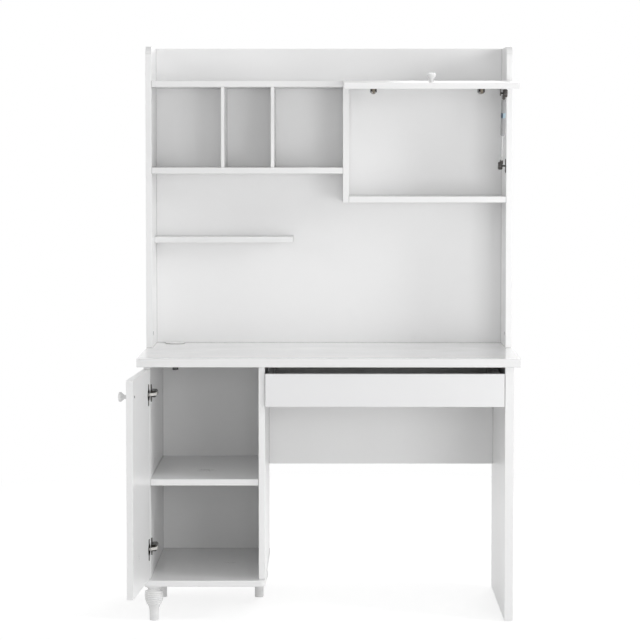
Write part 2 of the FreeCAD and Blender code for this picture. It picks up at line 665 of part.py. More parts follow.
def make_dowels():
    """Hidden dowels: shelves into sides, modesty panel into cabinet and leg, hutch into top."""
    dowels = []
    left = X_AXIS * -1
    top_z = top_shelf_top - BOARD / 2
    pigeonhole_z = pigeonhole_floor - BOARD / 2
    floor_z = flap_box_floor_top - BOARD / 2
    for y in (hutch_front + DOWEL_INSET, back_front - DOWEL_INSET):
        for x, z, side, board, into in (
                (-hutch_inner, top_z, "hutch_left_side", "hutch_top_shelf", left),
                (hutch_inner, top_z, "hutch_right_side", "hutch_top_shelf", X_AXIS),
                (-hutch_inner, pigeonhole_z, "hutch_left_side", "pigeonhole_shelf", left),
                (flap_box_outer, pigeonhole_z, "flap_box_side", "pigeonhole_shelf", X_AXIS),
                (flap_box_inner, floor_z, "flap_box_side", "flap_box_floor", left),
                (hutch_inner, floor_z, "hutch_right_side", "flap_box_floor", X_AXIS)):
            add_dowel(dowels, Vector(x, y, z), side, board, into)
    y = MODESTY_SETBACK + BOARD / 2
    for z in (modesty_bottom + DOWEL_INSET, worktop_under - DOWEL_INSET):
        add_dowel(dowels, Vector(cabinet_right, y, z), "cabinet_right_side",
                  "modesty_panel", left)
        add_dowel(dowels, Vector(leg_inner, y, z), "right_leg_panel", "modesty_panel", X_AXIS)
    y = hutch_front + HUTCH_DOWEL_SETBACK
    for name, side in (("hutch_left_side", -1), ("hutch_right_side", 1)):
        x = side * (half_width - BOARD / 2)
        add_dowel(dowels, Vector(x, y, WORKTOP_HEIGHT), "worktop", name, Z_AXIS * -1)
    return Part.makeCompound(dowels)


make_cams()
carcass["wood_dowels"] = make_dowels()


# ---- concealed cup hinge, drawn with its panel closed ---------------------------
# Hinge axes: X runs from the side board's outer face towards the opening, Y from its
# front edge to the back, Z along the pin. The cup, wings and pin swing with the panel.
def make_hinge_cup():
    """The pressed cup with its screw wings and the pin riveted across it."""
    face = -PANEL_GAP
    mouth = Vector(cup_x, face, 0)
    cup = rod(mouth, Y_AXIS * -1, CUP_RADIUS, CUP_DEPTH)
    flange = rod(mouth, Y_AXIS, CUP_FLANGE_RADIUS, CUP_FLANGE)
    wing = box(cup_x - 0.4 * CUP_WING_WIDTH, cup_x + 0.6 * CUP_WING_WIDTH,
               face, face + CUP_FLANGE, -CUP_WING_SPAN / 2, CUP_WING_SPAN / 2)
    ends = [edge for edge in wing.Edges if runs_along(edge, Y_AXIS)]
    wing = wing.makeFillet(0.3 * CUP_WING_WIDTH, ends)
    cup = cup.fuse(flange).fuse(wing)
    hollow = rod(mouth + Y_AXIS * CUP_FLANGE, Y_AXIS * -1, cup_hollow_radius,
                 CUP_DEPTH + CUP_FLANGE - CUP_WALL)
    cup = cup.cut(hollow)
    for seat in cup_screw_seats():
        cup = cup.cut(rod(seat - Y_AXIS * 2 * CUP_FLANGE, Y_AXIS,
                          SCREW_RADIUS + SCREW_CLEARANCE, 4 * CUP_FLANGE))
    half_chord = math.sqrt(cup_hollow_radius ** 2 - (cup_x - pin_x) ** 2)
    half_pin = half_chord + CUP_BORE_CLEARANCE
    pin = rod(Vector(pin_x, pin_y, -half_pin), Z_AXIS, PIN_RADIUS, 2 * half_pin)
    return cup.fuse(pin)


def cup_screw_seats():
    """Where the heads of the cup's two screws sit on its wings."""
    x = cup_x + 0.1 * CUP_WING_WIDTH
    y = CUP_FLANGE - PANEL_GAP
    reach = CUP_WING_SPAN / 2 - CUP_SCREW_END
    return [Vector(x, y, z) for z in (-reach, reach)]


def make_cup_screws():
    return [screw(seat, Y_AXIS * -1) for seat in cup_screw_seats()]


def cup_bores():
    """What is drilled out of a door or flap for one hinge."""
    mouth = Vector(cup_x, -PANEL_GAP, 0)
    bores = [rod(mouth, Y_AXIS * -1, CUP_RADIUS + CUP_BORE_CLEARANCE,
                 CUP_DEPTH + CUP_BORE_CLEARANCE)]
    bores += [screw_hole(seat, Y_AXIS * -1) for seat in cup_screw_seats()]
    return Part.makeCompound(bores)


plate_top = BOARD + PLATE_THICKNESS
arm_top = plate_top + ARM_HEIGHT
arm_end = ARM_START + ARM_LENGTH
arm_half = ARM_WIDTH / 2
rail_half = arm_half - ARM_SHEET - HINGE_FIT
rail_top = arm_top - ARM_TAPER - ARM_SHEET
arm_screw_place = Vector(arm_top, ARM_SCREW_SETBACK, 0)
arm_screw_length = ARM_HEIGHT - ARM_SHEET


def make_hinge_arm():
    """The arm: a bevelled channel over the plate, a bent neck and a knuckle on the pin."""
    half = arm_half - ARM_SHEET / 2
    crown = arm_top - ARM_SHEET / 2
    section = ribbon([Vector(plate_top, -half, 0), Vector(crown - ARM_TAPER, -half, 0),
                      Vector(crown, ARM_TAPER - half, 0), Vector(crown, half - ARM_TAPER, 0),
                      Vector(crown - ARM_TAPER, half, 0), Vector(plate_top, half, 0)],
                     ARM_SHEET)
    channel = section.extrude(Z_AXIS * -ARM_LENGTH)
    channel.rotate(Vector(0, 0, 0), X_AXIS, 90)
    channel.translate(Y_AXIS * ARM_START)
    web = arm_top - NECK_THICKNESS / 2
    reach = pin_x + NECK_REACH
    line = [Vector(web, ARM_START + 8.0, 0),
            Vector(web, pin_y + web - reach, 0),
            Vector(reach, pin_y, 0),
            Vector(pin_x + KNUCKLE_RADIUS - 0.3, pin_y, 0)]
    neck = ribbon(line, NECK_THICKNESS).extrude(Z_AXIS * NECK_WIDTH)
    neck.translate(Z_AXIS * (-NECK_WIDTH / 2))
    half_knuckle = KNUCKLE_WIDTH / 2
    knuckle = rod(Vector(pin_x, pin_y, -half_knuckle), Z_AXIS, KNUCKLE_RADIUS, KNUCKLE_WIDTH)
    arm = channel.fuse(neck).fuse(knuckle)
    arm = arm.cut(rod(Vector(pin_x, pin_y, -KNUCKLE_WIDTH), Z_AXIS,
                      PIN_RADIUS + PIN_CLEARANCE, 2 * KNUCKLE_WIDTH))
    return arm.cut(screw_hole(arm_screw_place, X_AXIS * -1, arm_screw_length))


def plate_screw_seats():
    """Where the plate's two screws sit, above and below the arm."""
    reach = PLATE_SPAN / 2 - PLATE_SCREW_END
    return [Vector(plate_top, PLATE_SETBACK, z) for z in (-reach, reach)]


def make_hinge_plate():
    """The cross-shaped plate on the side board, with the rail that carries the arm."""
    half_span = PLATE_SPAN / 2
    half_width_of_plate = PLATE_WIDTH / 2
    cross = box(BOARD, plate_top, PLATE_SETBACK - half_width_of_plate,
                PLATE_SETBACK + half_width_of_plate, -half_span, half_span)
    corners = [edge for edge in cross.Edges if runs_along(edge, X_AXIS)]
    cross = cross.makeFillet(0.4 * PLATE_WIDTH, corners)
    rail = box(BOARD, rail_top, ARM_START + 10.0, arm_end - 2.0, -rail_half, rail_half)
    plate = cross.fuse(rail)
    for seat in plate_screw_seats():
        plate = plate.cut(screw_hole(seat, X_AXIS * -1))
    return plate.cut(screw_hole(arm_screw_place, X_AXIS * -1, arm_screw_length))


def make_plate_screws():
    """Two screws through the plate and one that clamps the arm."""
    screws = [screw(seat, X_AXIS * -1) for seat in plate_screw_seats()]
    screws.append(screw(arm_screw_place, X_AXIS * -1, arm_screw_length))
    return screws


def side_bores():
    """Pilot holes in the side board for the plate's screws."""
    return Part.makeCompound([screw_hole(seat, X_AXIS * -1) for seat in plate_screw_seats()])


def moved(shape, placement):
    """A copy of a shape drawn in its own axes, put at its place in the desk."""
    copy = shape.copy()
    copy.Placement = placement.multiply(copy.Placement)
    return copy


def hinge_group(make, placements):
    """One node with a copy of the same hinge piece at every hinge."""
    made = make()
    solids = made if isinstance(made, list) else [made]
    return Part.makeCompound([moved(solid, place) for place in placements for solid in solids])


door_hinges = [Placement(Vector(cabinet_left, CABINET_SETBACK, z), Rotation())
               for z in door_hinge_heights]
flap_hinges = [Placement(Vector(x, hutch_front, top_shelf_top), Rotation(Y_AXIS, 90))
               for x in flap_hinge_places]
carcass["door_hinge_plates"] = hinge_group(make_hinge_plate, door_hinges)
carcass["door_hinge_arms"] = hinge_group(make_hinge_arm, door_hinges)
carcass["flap_hinge_plates"] = hinge_group(make_hinge_plate, flap_hinges)
carcass["flap_hinge_arms"] = hinge_group(make_hinge_arm, flap_hinges)
carcass["hinge_plate_screws"] = hinge_group(make_plate_screws, door_hinges + flap_hinges)
drill(carcass, "cabinet_left_side", hinge_group(side_bores, door_hinges))
drill(carcass, "hutch_top_shelf", hinge_group(side_bores, flap_hinges))


# ---- knobs ----------------------------------------------------------------------
def make_knob():
    """A turned knob on Z with a waisted stem, a flared head and a screw hole."""
    rim_low = KNOB_HEIGHT - KNOB_RIM
    rim_high = KNOB_HEIGHT - KNOB_DOME
    neck_z = 0.4 * KNOB_HEIGHT
    under = Vector(KNOB_RADIUS - 1.0, 0, rim_low)
    edge = Vector(KNOB_RADIUS - 0.8, 0, rim_high)
    edges = [
        Part.makeLine(Vector(0, 0, 0), Vector(KNOB_FOOT_RADIUS, 0, 0)),
        Part.makeLine(Vector(KNOB_FOOT_RADIUS, 0, 0), Vector(KNOB_FOOT_RADIUS, 0, 1.5)),
        arc(Vector(KNOB_FOOT_RADIUS, 0, 1.5),
            Vector(KNOB_NECK_RADIUS, 0, 0.65 * neck_z),
            Vector(KNOB_NECK_RADIUS + 0.7, 0, neck_z)),
        Part.makeLine(Vector(KNOB_NECK_RADIUS + 0.7, 0, neck_z), under),
        arc(under, Vector(KNOB_RADIUS, 0, (rim_low + rim_high) / 2), edge),
        arc(edge, Vector(0.6 * KNOB_RADIUS, 0, KNOB_HEIGHT - 0.3 * KNOB_DOME),
            Vector(1.0, 0, KNOB_HEIGHT)),
        Part.makeLine(Vector(1.0, 0, KNOB_HEIGHT), Vector(0, 0, KNOB_HEIGHT)),
        Part.makeLine(Vector(0, 0, KNOB_HEIGHT), Vector(0, 0, 0)),
    ]
    hole = rod(Vector(0, 0, 0), Z_AXIS, KNOB_SCREW_RADIUS + SCREW_CLEARANCE,
               KNOB_SCREW_GRIP + SCREW_CLEARANCE)
    return turned(edges).cut(hole)


def fit_knob(body, panel, prefix, seat):
    """A knob on a panel's front face at a point, with its screw from behind."""
    knob = make_knob()
    knob.Placement = Placement(seat, Rotation(Z_AXIS, Y_AXIS * -1))
    behind = seat + Y_AXIS * BOARD
    length = BOARD + KNOB_SCREW_GRIP
    body[prefix + "_knob"] = knob
    body[prefix + "_knob_screw"] = screw(behind, Y_AXIS * -1, length, KNOB_SCREW_RADIUS,
                                         SCREW_HEAD_RADIUS)
    drill(body, panel, screw_hole(behind, Y_AXIS * -1, length, KNOB_SCREW_RADIUS))


# ---- door -----------------------------------------------------------------------
door_left = cabinet_left + HINGE_SIDE_GAP
door_right = cabinet_right - FREE_SIDE_GAP
door_inner_face = CABINET_SETBACK - PANEL_GAP
door_front_face = door_inner_face - BOARD
door["door_panel"] = ease_all(box(door_left, door_right, door_front_face, door_inner_face,
                                  door_bottom, door_top))
drill(door, "door_panel", hinge_group(cup_bores, door_hinges))
door["door_hinge_cups"] = hinge_group(make_hinge_cup, door_hinges)
door["door_cup_screws"] = hinge_group(make_cup_screws, door_hinges)
fit_knob(door, "door_panel", "door",
         Vector(door_right - KNOB_INSET, door_front_face, door_top - DOOR_KNOB_DROP))

# ---- flap -----------------------------------------------------------------------
flap_top = top_shelf_top - HINGE_SIDE_GAP
flap_bottom = flap_box_floor_under + FREE_SIDE_GAP
flap_inner_face = hutch_front - PANEL_GAP
flap_front_face = flap_inner_face - BOARD
flap["flap_panel"] = ease_all(box(flap_left, flap_right, flap_front_face, flap_inner_face,
                                  flap_bottom, flap_top))
drill(flap, "flap_panel", hinge_group(cup_bores, flap_hinges))
flap["flap_hinge_cups"] = hinge_group(make_hinge_cup, flap_hinges)
flap["flap_cup_screws"] = hinge_group(make_cup_screws, flap_hinges)
fit_knob(flap, "flap_panel", "flap",
         Vector((flap_left + flap_right) / 2, flap_front_face, flap_bottom + KNOB_INSET))

# ---- gas strut ------------------------------------------------------------------
# It turns on a ball on the flap. Its lower socket meets the wall stud with a hair's gap.
strut_x = hutch_inner - STRUT_SIDE_DISTANCE
wall_point = Vector(strut_x, hutch_front + STRUT_WALL_SETBACK, top_shelf_top - STRUT_WALL_DROP)
flap_point_closed = Vector(strut_x, flap_inner_face + STRUT_FLAP_STANDOFF,
                           flap_pin.z - STRUT_FLAP_REACH)
flap_point = flap_pin + Rotation(X_AXIS, -FLAP_REST_ANGLE).multVec(flap_point_closed - flap_pin)
flap_point.x = strut_x
strut_line = Vector(flap_point - wall_point).normalize()
strut_length = (flap_point - wall_point).Length
upper_offset = X_AXIS * SOCKET_OFFSET
lower_offset = X_AXIS * -SOCKET_OFFSET
cylinder_end = strut_length - COLLAR_END - CYLINDER_NECK
cylinder_start = cylinder_end - CYLINDER_LENGTH


def on_strut(distance):
    """The point on the strut's axis at a distance from its lower end."""
    return wall_point + strut_line * distance


def rounded_rod(start, direction, radius, length, rounding):
    """A cylinder with both rims rounded."""
    solid = rod(start, direction, radius, length)
    rims = [edge for edge in solid.Edges if edge.Curve.TypeId == "Part::GeomCircle"]
    return solid.makeFillet(rounding, rims)


def make_socket(point, direction, offset):
    """A moulded socket: an offset housing over the pivot and a collar on the strut's axis."""
    housing = rounded_rod(point + offset - direction * SOCKET_TAIL, direction,
                          SOCKET_RADIUS, SOCKET_TAIL + SOCKET_BODY, 1.5)
    overlap = 3.0
    collar = rod(point + direction * (SOCKET_BODY - overlap), direction, COLLAR_RADIUS,
                 COLLAR_END - SOCKET_BODY + overlap)
    return housing.fuse(collar)


def make_wall_bracket():
    """Plate on the hutch's right side with the stud that meets the lower socket."""
    half_span = STRUT_PLATE_SPAN / 2
    half_plate = STRUT_PLATE_WIDTH / 2
    face = hutch_inner - STRUT_PLATE
    plate = box(face, hutch_inner, wall_point.y - half_plate, wall_point.y + half_plate,
                wall_point.z - half_span, wall_point.z + half_span)
    corners = [edge for edge in plate.Edges if runs_along(edge, X_AXIS)]
    plate = plate.makeFillet(0.3 * STRUT_PLATE_WIDTH, corners)
    stud_end = strut_x - SOCKET_OFFSET + SOCKET_RADIUS + SOCKET_GAP
    stud = rod(Vector(stud_end, wall_point.y, wall_point.z), X_AXIS, STUD_RADIUS,
               hutch_inner - stud_end)
    bracket = plate.fuse(stud)
    reach = half_span - STRUT_PLATE_SCREW_END
    for z in (-reach, reach):
        seat = Vector(face, wall_point.y, wall_point.z + z)
        bracket = bracket.cut(screw_hole(seat, X_AXIS))
        wall_screws.append(screw(seat, X_AXIS))
        drill(carcass, "hutch_right_side", screw_hole(seat, X_AXIS))
    return bracket


def make_rod():
    """Lower socket, sleeve, rod and piston, as one piece that slides in the cylinder."""
    socket = make_socket(wall_point, strut_line, lower_offset)
    sleeve = rod(on_strut(COLLAR_END - 1.0), strut_line, ROD_SLEEVE_RADIUS,
                 ROD_SLEEVE_LENGTH + 1.0)
    piston_start = cylinder_start + CYLINDER_GUIDE + PISTON_CLEARANCE
    shaft = rod(on_strut(COLLAR_END), strut_line, ROD_RADIUS, piston_start - COLLAR_END + 1.0)
    piston = rod(on_strut(piston_start), strut_line,
                 CYLINDER_RADIUS - CYLINDER_WALL - PISTON_CLEARANCE, PISTON_LENGTH)
    return socket.fuse(sleeve).fuse(shaft).fuse(piston)


def make_cylinder():
    """The gas cylinder, hollow for the piston, with its neck and upper ball socket."""
    shell = rounded_rod(on_strut(cylinder_start), strut_line, CYLINDER_RADIUS,
                        CYLINDER_LENGTH, 1.0)
    room = rod(on_strut(cylinder_start + CYLINDER_GUIDE), strut_line,
               CYLINDER_RADIUS - CYLINDER_WALL, CYLINDER_LENGTH - CYLINDER_GUIDE - CYLINDER_WALL)
    throat = rod(on_strut(cylinder_start), strut_line, ROD_RADIUS + PISTON_CLEARANCE,
                 CYLINDER_GUIDE)
    neck = rod(on_strut(cylinder_end - 0.5), strut_line, CYLINDER_NECK_RADIUS,
               CYLINDER_NECK + 1.0)
    ball = flap_point + upper_offset
    socket = make_socket(flap_point, strut_line * -1, upper_offset)
    socket = socket.cut(Part.makeSphere(BALL_RADIUS + BALL_CLEARANCE, ball))
    socket = socket.cut(rod(ball, X_AXIS * -1, STUD_RADIUS + 5 * BALL_CLEARANCE,
                            2 * SOCKET_RADIUS))
    return shell.cut(room).cut(throat).fuse(neck).fuse(socket)


def make_flap_bracket():
    """Bracket on the flap, drawn closed: a foot, an upright and the ball stud."""
    half_span = STRUT_PLATE_SPAN / 2
    ball = flap_point_closed + upper_offset
    upright_right = ball.x - SOCKET_RADIUS - STUD_LENGTH
    upright_left = upright_right - STRUT_PLATE
    foot_right = upright_left + STRUT_PLATE_WIDTH
    foot = box(upright_left, foot_right, flap_inner_face, flap_inner_face + STRUT_PLATE,
               ball.z - half_span, ball.z + half_span)
    upright = box(upright_left, upright_right, flap_inner_face, ball.y + STRUT_PLATE_WIDTH / 2,
                  ball.z - STRUT_PLATE_WIDTH / 2, ball.z + STRUT_PLATE_WIDTH / 2)
    corners = [edge for edge in upright.Edges
               if runs_along(edge, X_AXIS) and edge.BoundBox.YMin > ball.y]
    upright = upright.makeFillet(0.4 * STRUT_PLATE_WIDTH, corners)
    stud = rod(Vector(upright_left, ball.y, ball.z), X_AXIS, STUD_RADIUS,
               ball.x - upright_left)
    bracket = foot.fuse(upright).fuse(stud).fuse(Part.makeSphere(BALL_RADIUS, ball))
    screw_x = (upright_right + foot_right) / 2
    reach = half_span - STRUT_PLATE_SCREW_END
    for z in (-reach, reach):
        seat = Vector(screw_x, flap_inner_face + STRUT_PLATE, ball.z + z)
        bracket = bracket.cut(screw_hole(seat, Y_AXIS * -1))
        flap_screws.append(screw(seat, Y_AXIS * -1))
        drill(flap, "flap_panel", screw_hole(seat, Y_AXIS * -1))
    return bracket


wall_screws = []
flap_screws = []
carcass["strut_wall_bracket"] = make_wall_bracket()
flap["strut_flap_bracket"] = make_flap_bracket()
carcass["hinge_plate_screws"] = Part.makeCompound(
    carcass["hinge_plate_screws"].Solids + wall_screws)
flap["flap_cup_screws"] = Part.makeCompound(flap["flap_cup_screws"].Solids + flap_screws)
strut_lower["strut_rod"] = make_rod()
strut_upper["strut_cylinder"] = make_cylinder()


# ---- drawer box -----------------------------------------------------------------
def make_drawer():
    """Front, sides, back and a thin bottom held in grooves."""
    rear = drawer_inner_front + DRAWER_DEPTH
    bottom_z = drawer_side_bottom + DRAWER_BOTTOM_LIFT
    front = box(cabinet_right + DRAWER_FRONT_GAP, leg_inner - DRAWER_FRONT_GAP,
                LEG_SETBACK, drawer_inner_front, drawer_top - DRAWER_FRONT_HEIGHT, drawer_top)
    groove = box(drawer_left + DRAWER_BOARD - DRAWER_GROOVE,
                 drawer_right - DRAWER_BOARD + DRAWER_GROOVE,
                 drawer_inner_front - DRAWER_GROOVE, rear - DRAWER_BOARD + DRAWER_GROOVE,
                 bottom_z, bottom_z + DRAWER_BOTTOM)
    play = DRAWER_GROOVE_CLEARANCE
    sheet = box(groove.BoundBox.XMin + play, groove.BoundBox.XMax - play,
                groove.BoundBox.YMin + play, groove.BoundBox.YMax - play,
                bottom_z, bottom_z + DRAWER_BOTTOM - play)
    boards = {
        "drawer_front": ease_all(front),
        "drawer_left_side": box(drawer_left, drawer_left + DRAWER_BOARD, drawer_inner_front,
                                rear, drawer_side_bottom, drawer_side_top),
        "drawer_right_side": box(drawer_right - DRAWER_BOARD, drawer_right, drawer_inner_front,
                                 rear, drawer_side_bottom, drawer_side_top),
        "drawer_back": box(drawer_left + DRAWER_BOARD, drawer_right - DRAWER_BOARD,
                           rear - DRAWER_BOARD, rear, drawer_side_bottom, drawer_side_top),
    }
    for name, board in boards.items():
        drawer[name] = board.cut(groove)
    drawer["drawer_bottom"] = sheet


# ---- ball-bearing runners, drawn in section ------------------------------------
# Section axes: u runs from the carcass to the drawer across the gap, v upwards.
half_outer = RUNNER_HEIGHT / 2
half_inner = RUNNER_INNER_HEIGHT / 2
outer_flange_end = RUNNER_GAP - 1.0
inner_flange_end = 2.5
ball_v = (half_outer - RUNNER_SHEET + half_inner) / 2
ball_u = (RUNNER_SHEET + outer_flange_end - RUNNER_SHEET) / 2


def section_box(origin_x, toward, u0, u1, v0, v1, y0, y1):
    """A straight bar of a runner from its section rectangle."""
    xs = sorted((origin_x + toward * u0, origin_x + toward * u1))
    return box(xs[0], xs[1], y0, y1, runner_height + v0, runner_height + v1)


def channel_section(origin_x, toward, web, flange, half_height, lip, y0, y1):
    """A C-shaped channel: a web, two flanges and, if asked, two inward lips."""
    u_web0, u_web1 = web
    u_flange0, u_flange1 = flange
    thickness = abs(u_web1 - u_web0)
    bars = [section_box(origin_x, toward, u_web0, u_web1, -half_height, half_height, y0, y1)]
    for side in (-1, 1):
        outer_v = side * half_height
        inner_v = side * (half_height - thickness)
        low, high = sorted((outer_v, inner_v))
        bars.append(section_box(origin_x, toward, u_flange0, u_flange1, low, high, y0, y1))
        if lip > 0:
            lip_v = side * (half_height - thickness - lip)
            low, high = sorted((outer_v, lip_v))
            bars.append(section_box(origin_x, toward, u_flange1 - thickness, u_flange1,
                                    low, high, y0, y1))
    return bars[0].multiFuse(bars[1:]).removeSplitter()


def make_runner(origin_x, toward):
    """Carcass channel, drawer channel and the ball cage between them, for one side."""
    rear = runner_front + RUNNER_LENGTH
    outer = channel_section(origin_x, toward, (0, RUNNER_SHEET), (0, outer_flange_end),
                            half_outer, RUNNER_LIP, runner_front, rear)
    inner = channel_section(origin_x, toward, (RUNNER_GAP - RUNNER_SHEET, RUNNER_GAP),
                            (inner_flange_end, RUNNER_GAP), half_inner, 0, runner_front, rear)
    cage_start = runner_front + (RUNNER_LENGTH + CAGE_RATIO * DRAWER_TRAVEL - CAGE_LENGTH) / 2
    cage_end = cage_start + CAGE_LENGTH
    web_u = (RUNNER_SHEET + inner_flange_end - CAGE_SHEET) / 2
    cage = channel_section(origin_x, toward, (web_u, web_u + CAGE_SHEET),
                           (web_u, ball_u + BALL_BEARING_RADIUS),
                           ball_v + CAGE_SHEET / 2, 0, cage_start, cage_end)
    balls = []
    pitch = CAGE_LENGTH / BALLS_PER_ROW
    for row in (-1, 1):
        for index in range(BALLS_PER_ROW):
            centre = Vector(origin_x + toward * ball_u, cage_start + (index + 0.5) * pitch,
                            runner_height + row * ball_v)
            hole = rod(centre - Z_AXIS * CAGE_SHEET, Z_AXIS,
                       BALL_BEARING_RADIUS + PIN_CLEARANCE, 2 * CAGE_SHEET)
            cage = cage.cut(hole)
            balls.append(Part.makeSphere(BALL_BEARING_RADIUS, centre))
    return outer, inner, Part.makeCompound([cage] + balls)


make_drawer()
(carcass["left_runner_outer_rail"], drawer["left_runner_inner_rail"],
 left_cage["left_runner_ball_cage"]) = make_runner(cabinet_right, 1)
(carcass["right_runner_outer_rail"], drawer["right_runner_inner_rail"],
 right_cage["right_runner_ball_cage"]) = make_runner(leg_inner, -1)


# ---- open the door and the flap to where they stand -----------------------------
def swing(body, pivot, axis, degrees):
    for shape in body.values():
        shape.rotate(pivot, axis, degrees)


swing(door, door_pin, Z_AXIS, -DOOR_REST_ANGLE)
swing(flap, flap_pin, X_AXIS, -FLAP_REST_ANGLE)

# ---- move the origin to the middle of the outline on the floor, and export ------
bodies = {"carcass": carcass, "door": door, "flap": flap, "drawer": drawer,
          "strut_rod_body": strut_lower, "strut_cylinder_body": strut_upper,
          "left_ball_cage": left_cage, "right_ball_cage": right_cage}
pieces = {name: shape for body in bodies.values() for name, shape in body.items()}
whole = Part.makeCompound(list(pieces.values())).BoundBox
origin = Vector((whole.XMin + whole.XMax) / 2, (whole.YMin + whole.YMax) / 2, whole.ZMin)

os.makedirs("parts", exist_ok=True)
for name, shape in pieces.items():
    shape.translate(origin * -1)
    shape.exportStep("parts/" + name + ".step")
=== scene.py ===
# %% [markdown]
# # Student desk with a hutch
# The packed desk is loaded as a fixed frame: every board, hinge and runner has its real
# size, and each moving body is on its joint. The cells below add the camera, the finishes,
# the small parts, the floor and the light. Lengths are metres, or millimetres where MM
# multiplies them later. X runs to the desk's right, Y to the wall and Z up.

# %% Load the desk
import cmath
import json
import math

import bmesh
import bpy
import numpy as np
from mathutils import Euler, Matrix, Vector


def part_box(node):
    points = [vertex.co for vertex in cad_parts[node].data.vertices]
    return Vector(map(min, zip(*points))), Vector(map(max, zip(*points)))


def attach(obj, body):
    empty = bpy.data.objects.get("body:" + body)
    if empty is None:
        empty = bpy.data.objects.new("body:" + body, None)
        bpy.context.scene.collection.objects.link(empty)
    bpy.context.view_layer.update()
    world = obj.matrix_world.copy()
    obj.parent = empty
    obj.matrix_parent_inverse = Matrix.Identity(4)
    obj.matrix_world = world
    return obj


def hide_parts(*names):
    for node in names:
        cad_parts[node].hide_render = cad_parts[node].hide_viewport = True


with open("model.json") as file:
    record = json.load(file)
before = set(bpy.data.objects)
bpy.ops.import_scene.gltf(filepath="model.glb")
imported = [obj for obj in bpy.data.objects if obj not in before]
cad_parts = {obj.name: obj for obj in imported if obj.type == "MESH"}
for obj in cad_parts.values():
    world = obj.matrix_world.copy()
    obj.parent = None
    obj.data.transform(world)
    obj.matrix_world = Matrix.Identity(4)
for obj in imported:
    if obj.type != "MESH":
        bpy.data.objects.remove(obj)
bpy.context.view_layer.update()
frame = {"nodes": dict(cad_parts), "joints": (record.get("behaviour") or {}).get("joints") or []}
MM = 0.001
X, Y, Z = range(3)

# %% [markdown]
# ## Camera
# A desk is best shown almost straight on, from eye height. A short lens close by would
# spread its upright edges, so a long lens stands 7 m away. The downward look could be all
# tilt, but that makes uprights lean, so part of it is a shift of the lens.


# %% Camera
def put_in_scene(name, data):
    """A new object of a mesh, a lamp or a camera, linked to the scene."""
    thing = bpy.data.objects.new(name, data)
    bpy.context.scene.collection.objects.link(thing)
    return thing


DOWNWARD_TILT, LEFTWARD_TURN = 3.144, 0.2006
camera_data = bpy.data.cameras.new("desk_camera")
camera_data.sensor_width = 36.0
camera_data.lens = 138.78
camera_data.shift_y = -0.06
camera = put_in_scene("desk_camera", camera_data)
camera.location = (0.0135, -7.1625, 1.3664)
camera.rotation_euler = (math.radians(90 - DOWNWARD_TILT), 0, math.radians(LEFTWARD_TURN))
bpy.context.scene.camera = camera
print("camera looks from", tuple(camera.location))

# %% [markdown]
# ## Shader arithmetic
# A finish is a small sum: a colour, plus a faint cloud, times a scratch. It could be
# wired by hand, but nobody reads a sum back from a web of nodes. So a Signal stands for
# what comes out of a socket, and Python's signs between signals add the Math nodes.


# %% Signals
def sign(operation, swapped=False):
    """A Python sign, as a method that adds one Math node."""
    if swapped:
        return lambda self, other: self.maths(operation, other, self)
    return lambda self, *others: self.maths(operation, self, *others)


class Signal:
    """A number or colour that comes out of a node."""

    def __init__(self, graph, socket):
        self.graph = graph
        self.socket = socket

    def maths(self, operation, *values):
        return self.graph.node("ShaderNodeMath", {"operation": operation},
                               dict(enumerate(values)))

    __add__, __radd__ = sign("ADD"), sign("ADD", swapped=True)
    __sub__, __rsub__ = sign("SUBTRACT"), sign("SUBTRACT", swapped=True)
    __mul__, __rmul__ = sign("MULTIPLY"), sign("MULTIPLY", swapped=True)
    __lt__, __gt__, __abs__ = sign("LESS_THAN"), sign("GREATER_THAN"), sign("ABSOLUTE")


def furthest(operation, signals):
    """The MAXIMUM or the MINIMUM of several signals."""
    found, *others = signals
    for other in others:
        found = found.maths(operation, found, other)
    return found


print("signals can be added, subtracted, multiplied and compared")

# %% [markdown]
# A material and the world keep their nodes in the same kind of tree, so one class serves
# both. Nodes could be added line by line, but each needs the same care: settings come
# before sockets, which they can change, and a socket takes a link or a value, where a
# colour wants a fourth number.


# %% Node graphs
class NodeGraph:
    """The nodes of a material or of the world."""

    def __init__(self, owner):
        owner.use_nodes = True
        self.tree = owner.node_tree

    def feed(self, socket, value):
        """Link a signal into a socket, or set the socket's own value."""
        if isinstance(value, Signal):
            self.tree.links.new(value.socket, socket)
        elif hasattr(socket.default_value, "__len__") and len(socket.default_value) > len(value):
            socket.default_value = (*value, 1)
        else:
            socket.default_value = value

    def node(self, kind, settings=None, inputs=None, output=0):
        """Add a node, set it up and feed its inputs; a tuple asks for several outputs."""
        made = self.tree.nodes.new(kind)
        for name, value in (settings or {}).items():
            setattr(made, name, value)
        for name, value in (inputs or {}).items():
            self.feed(made.inputs[name], value)
        if isinstance(output, tuple):
            return [Signal(self, made.outputs[name]) for name in output]
        return Signal(self, made.outputs[output])

    def ramp(self, value, start, end, results, kind="LINEAR"):
        """Goes from one result to the other while the value goes from start to end."""
        return self.node("ShaderNodeMapRange", {"interpolation_type": kind},
                         {"Value": value, "From Min": start, "From Max": end,
                          "To Min": results[0], "To Max": results[1]})


print("a graph can:", [name for name in vars(NodeGraph) if name[0] != "_"])

# %% [markdown]
# Every finish is one Principled shader. Generated coordinates would stretch its patterns
# with each piece's own box. Object coordinates are metres on the piece itself, so a speck
# keeps its size on a screw and on a board, and it swings with the door.


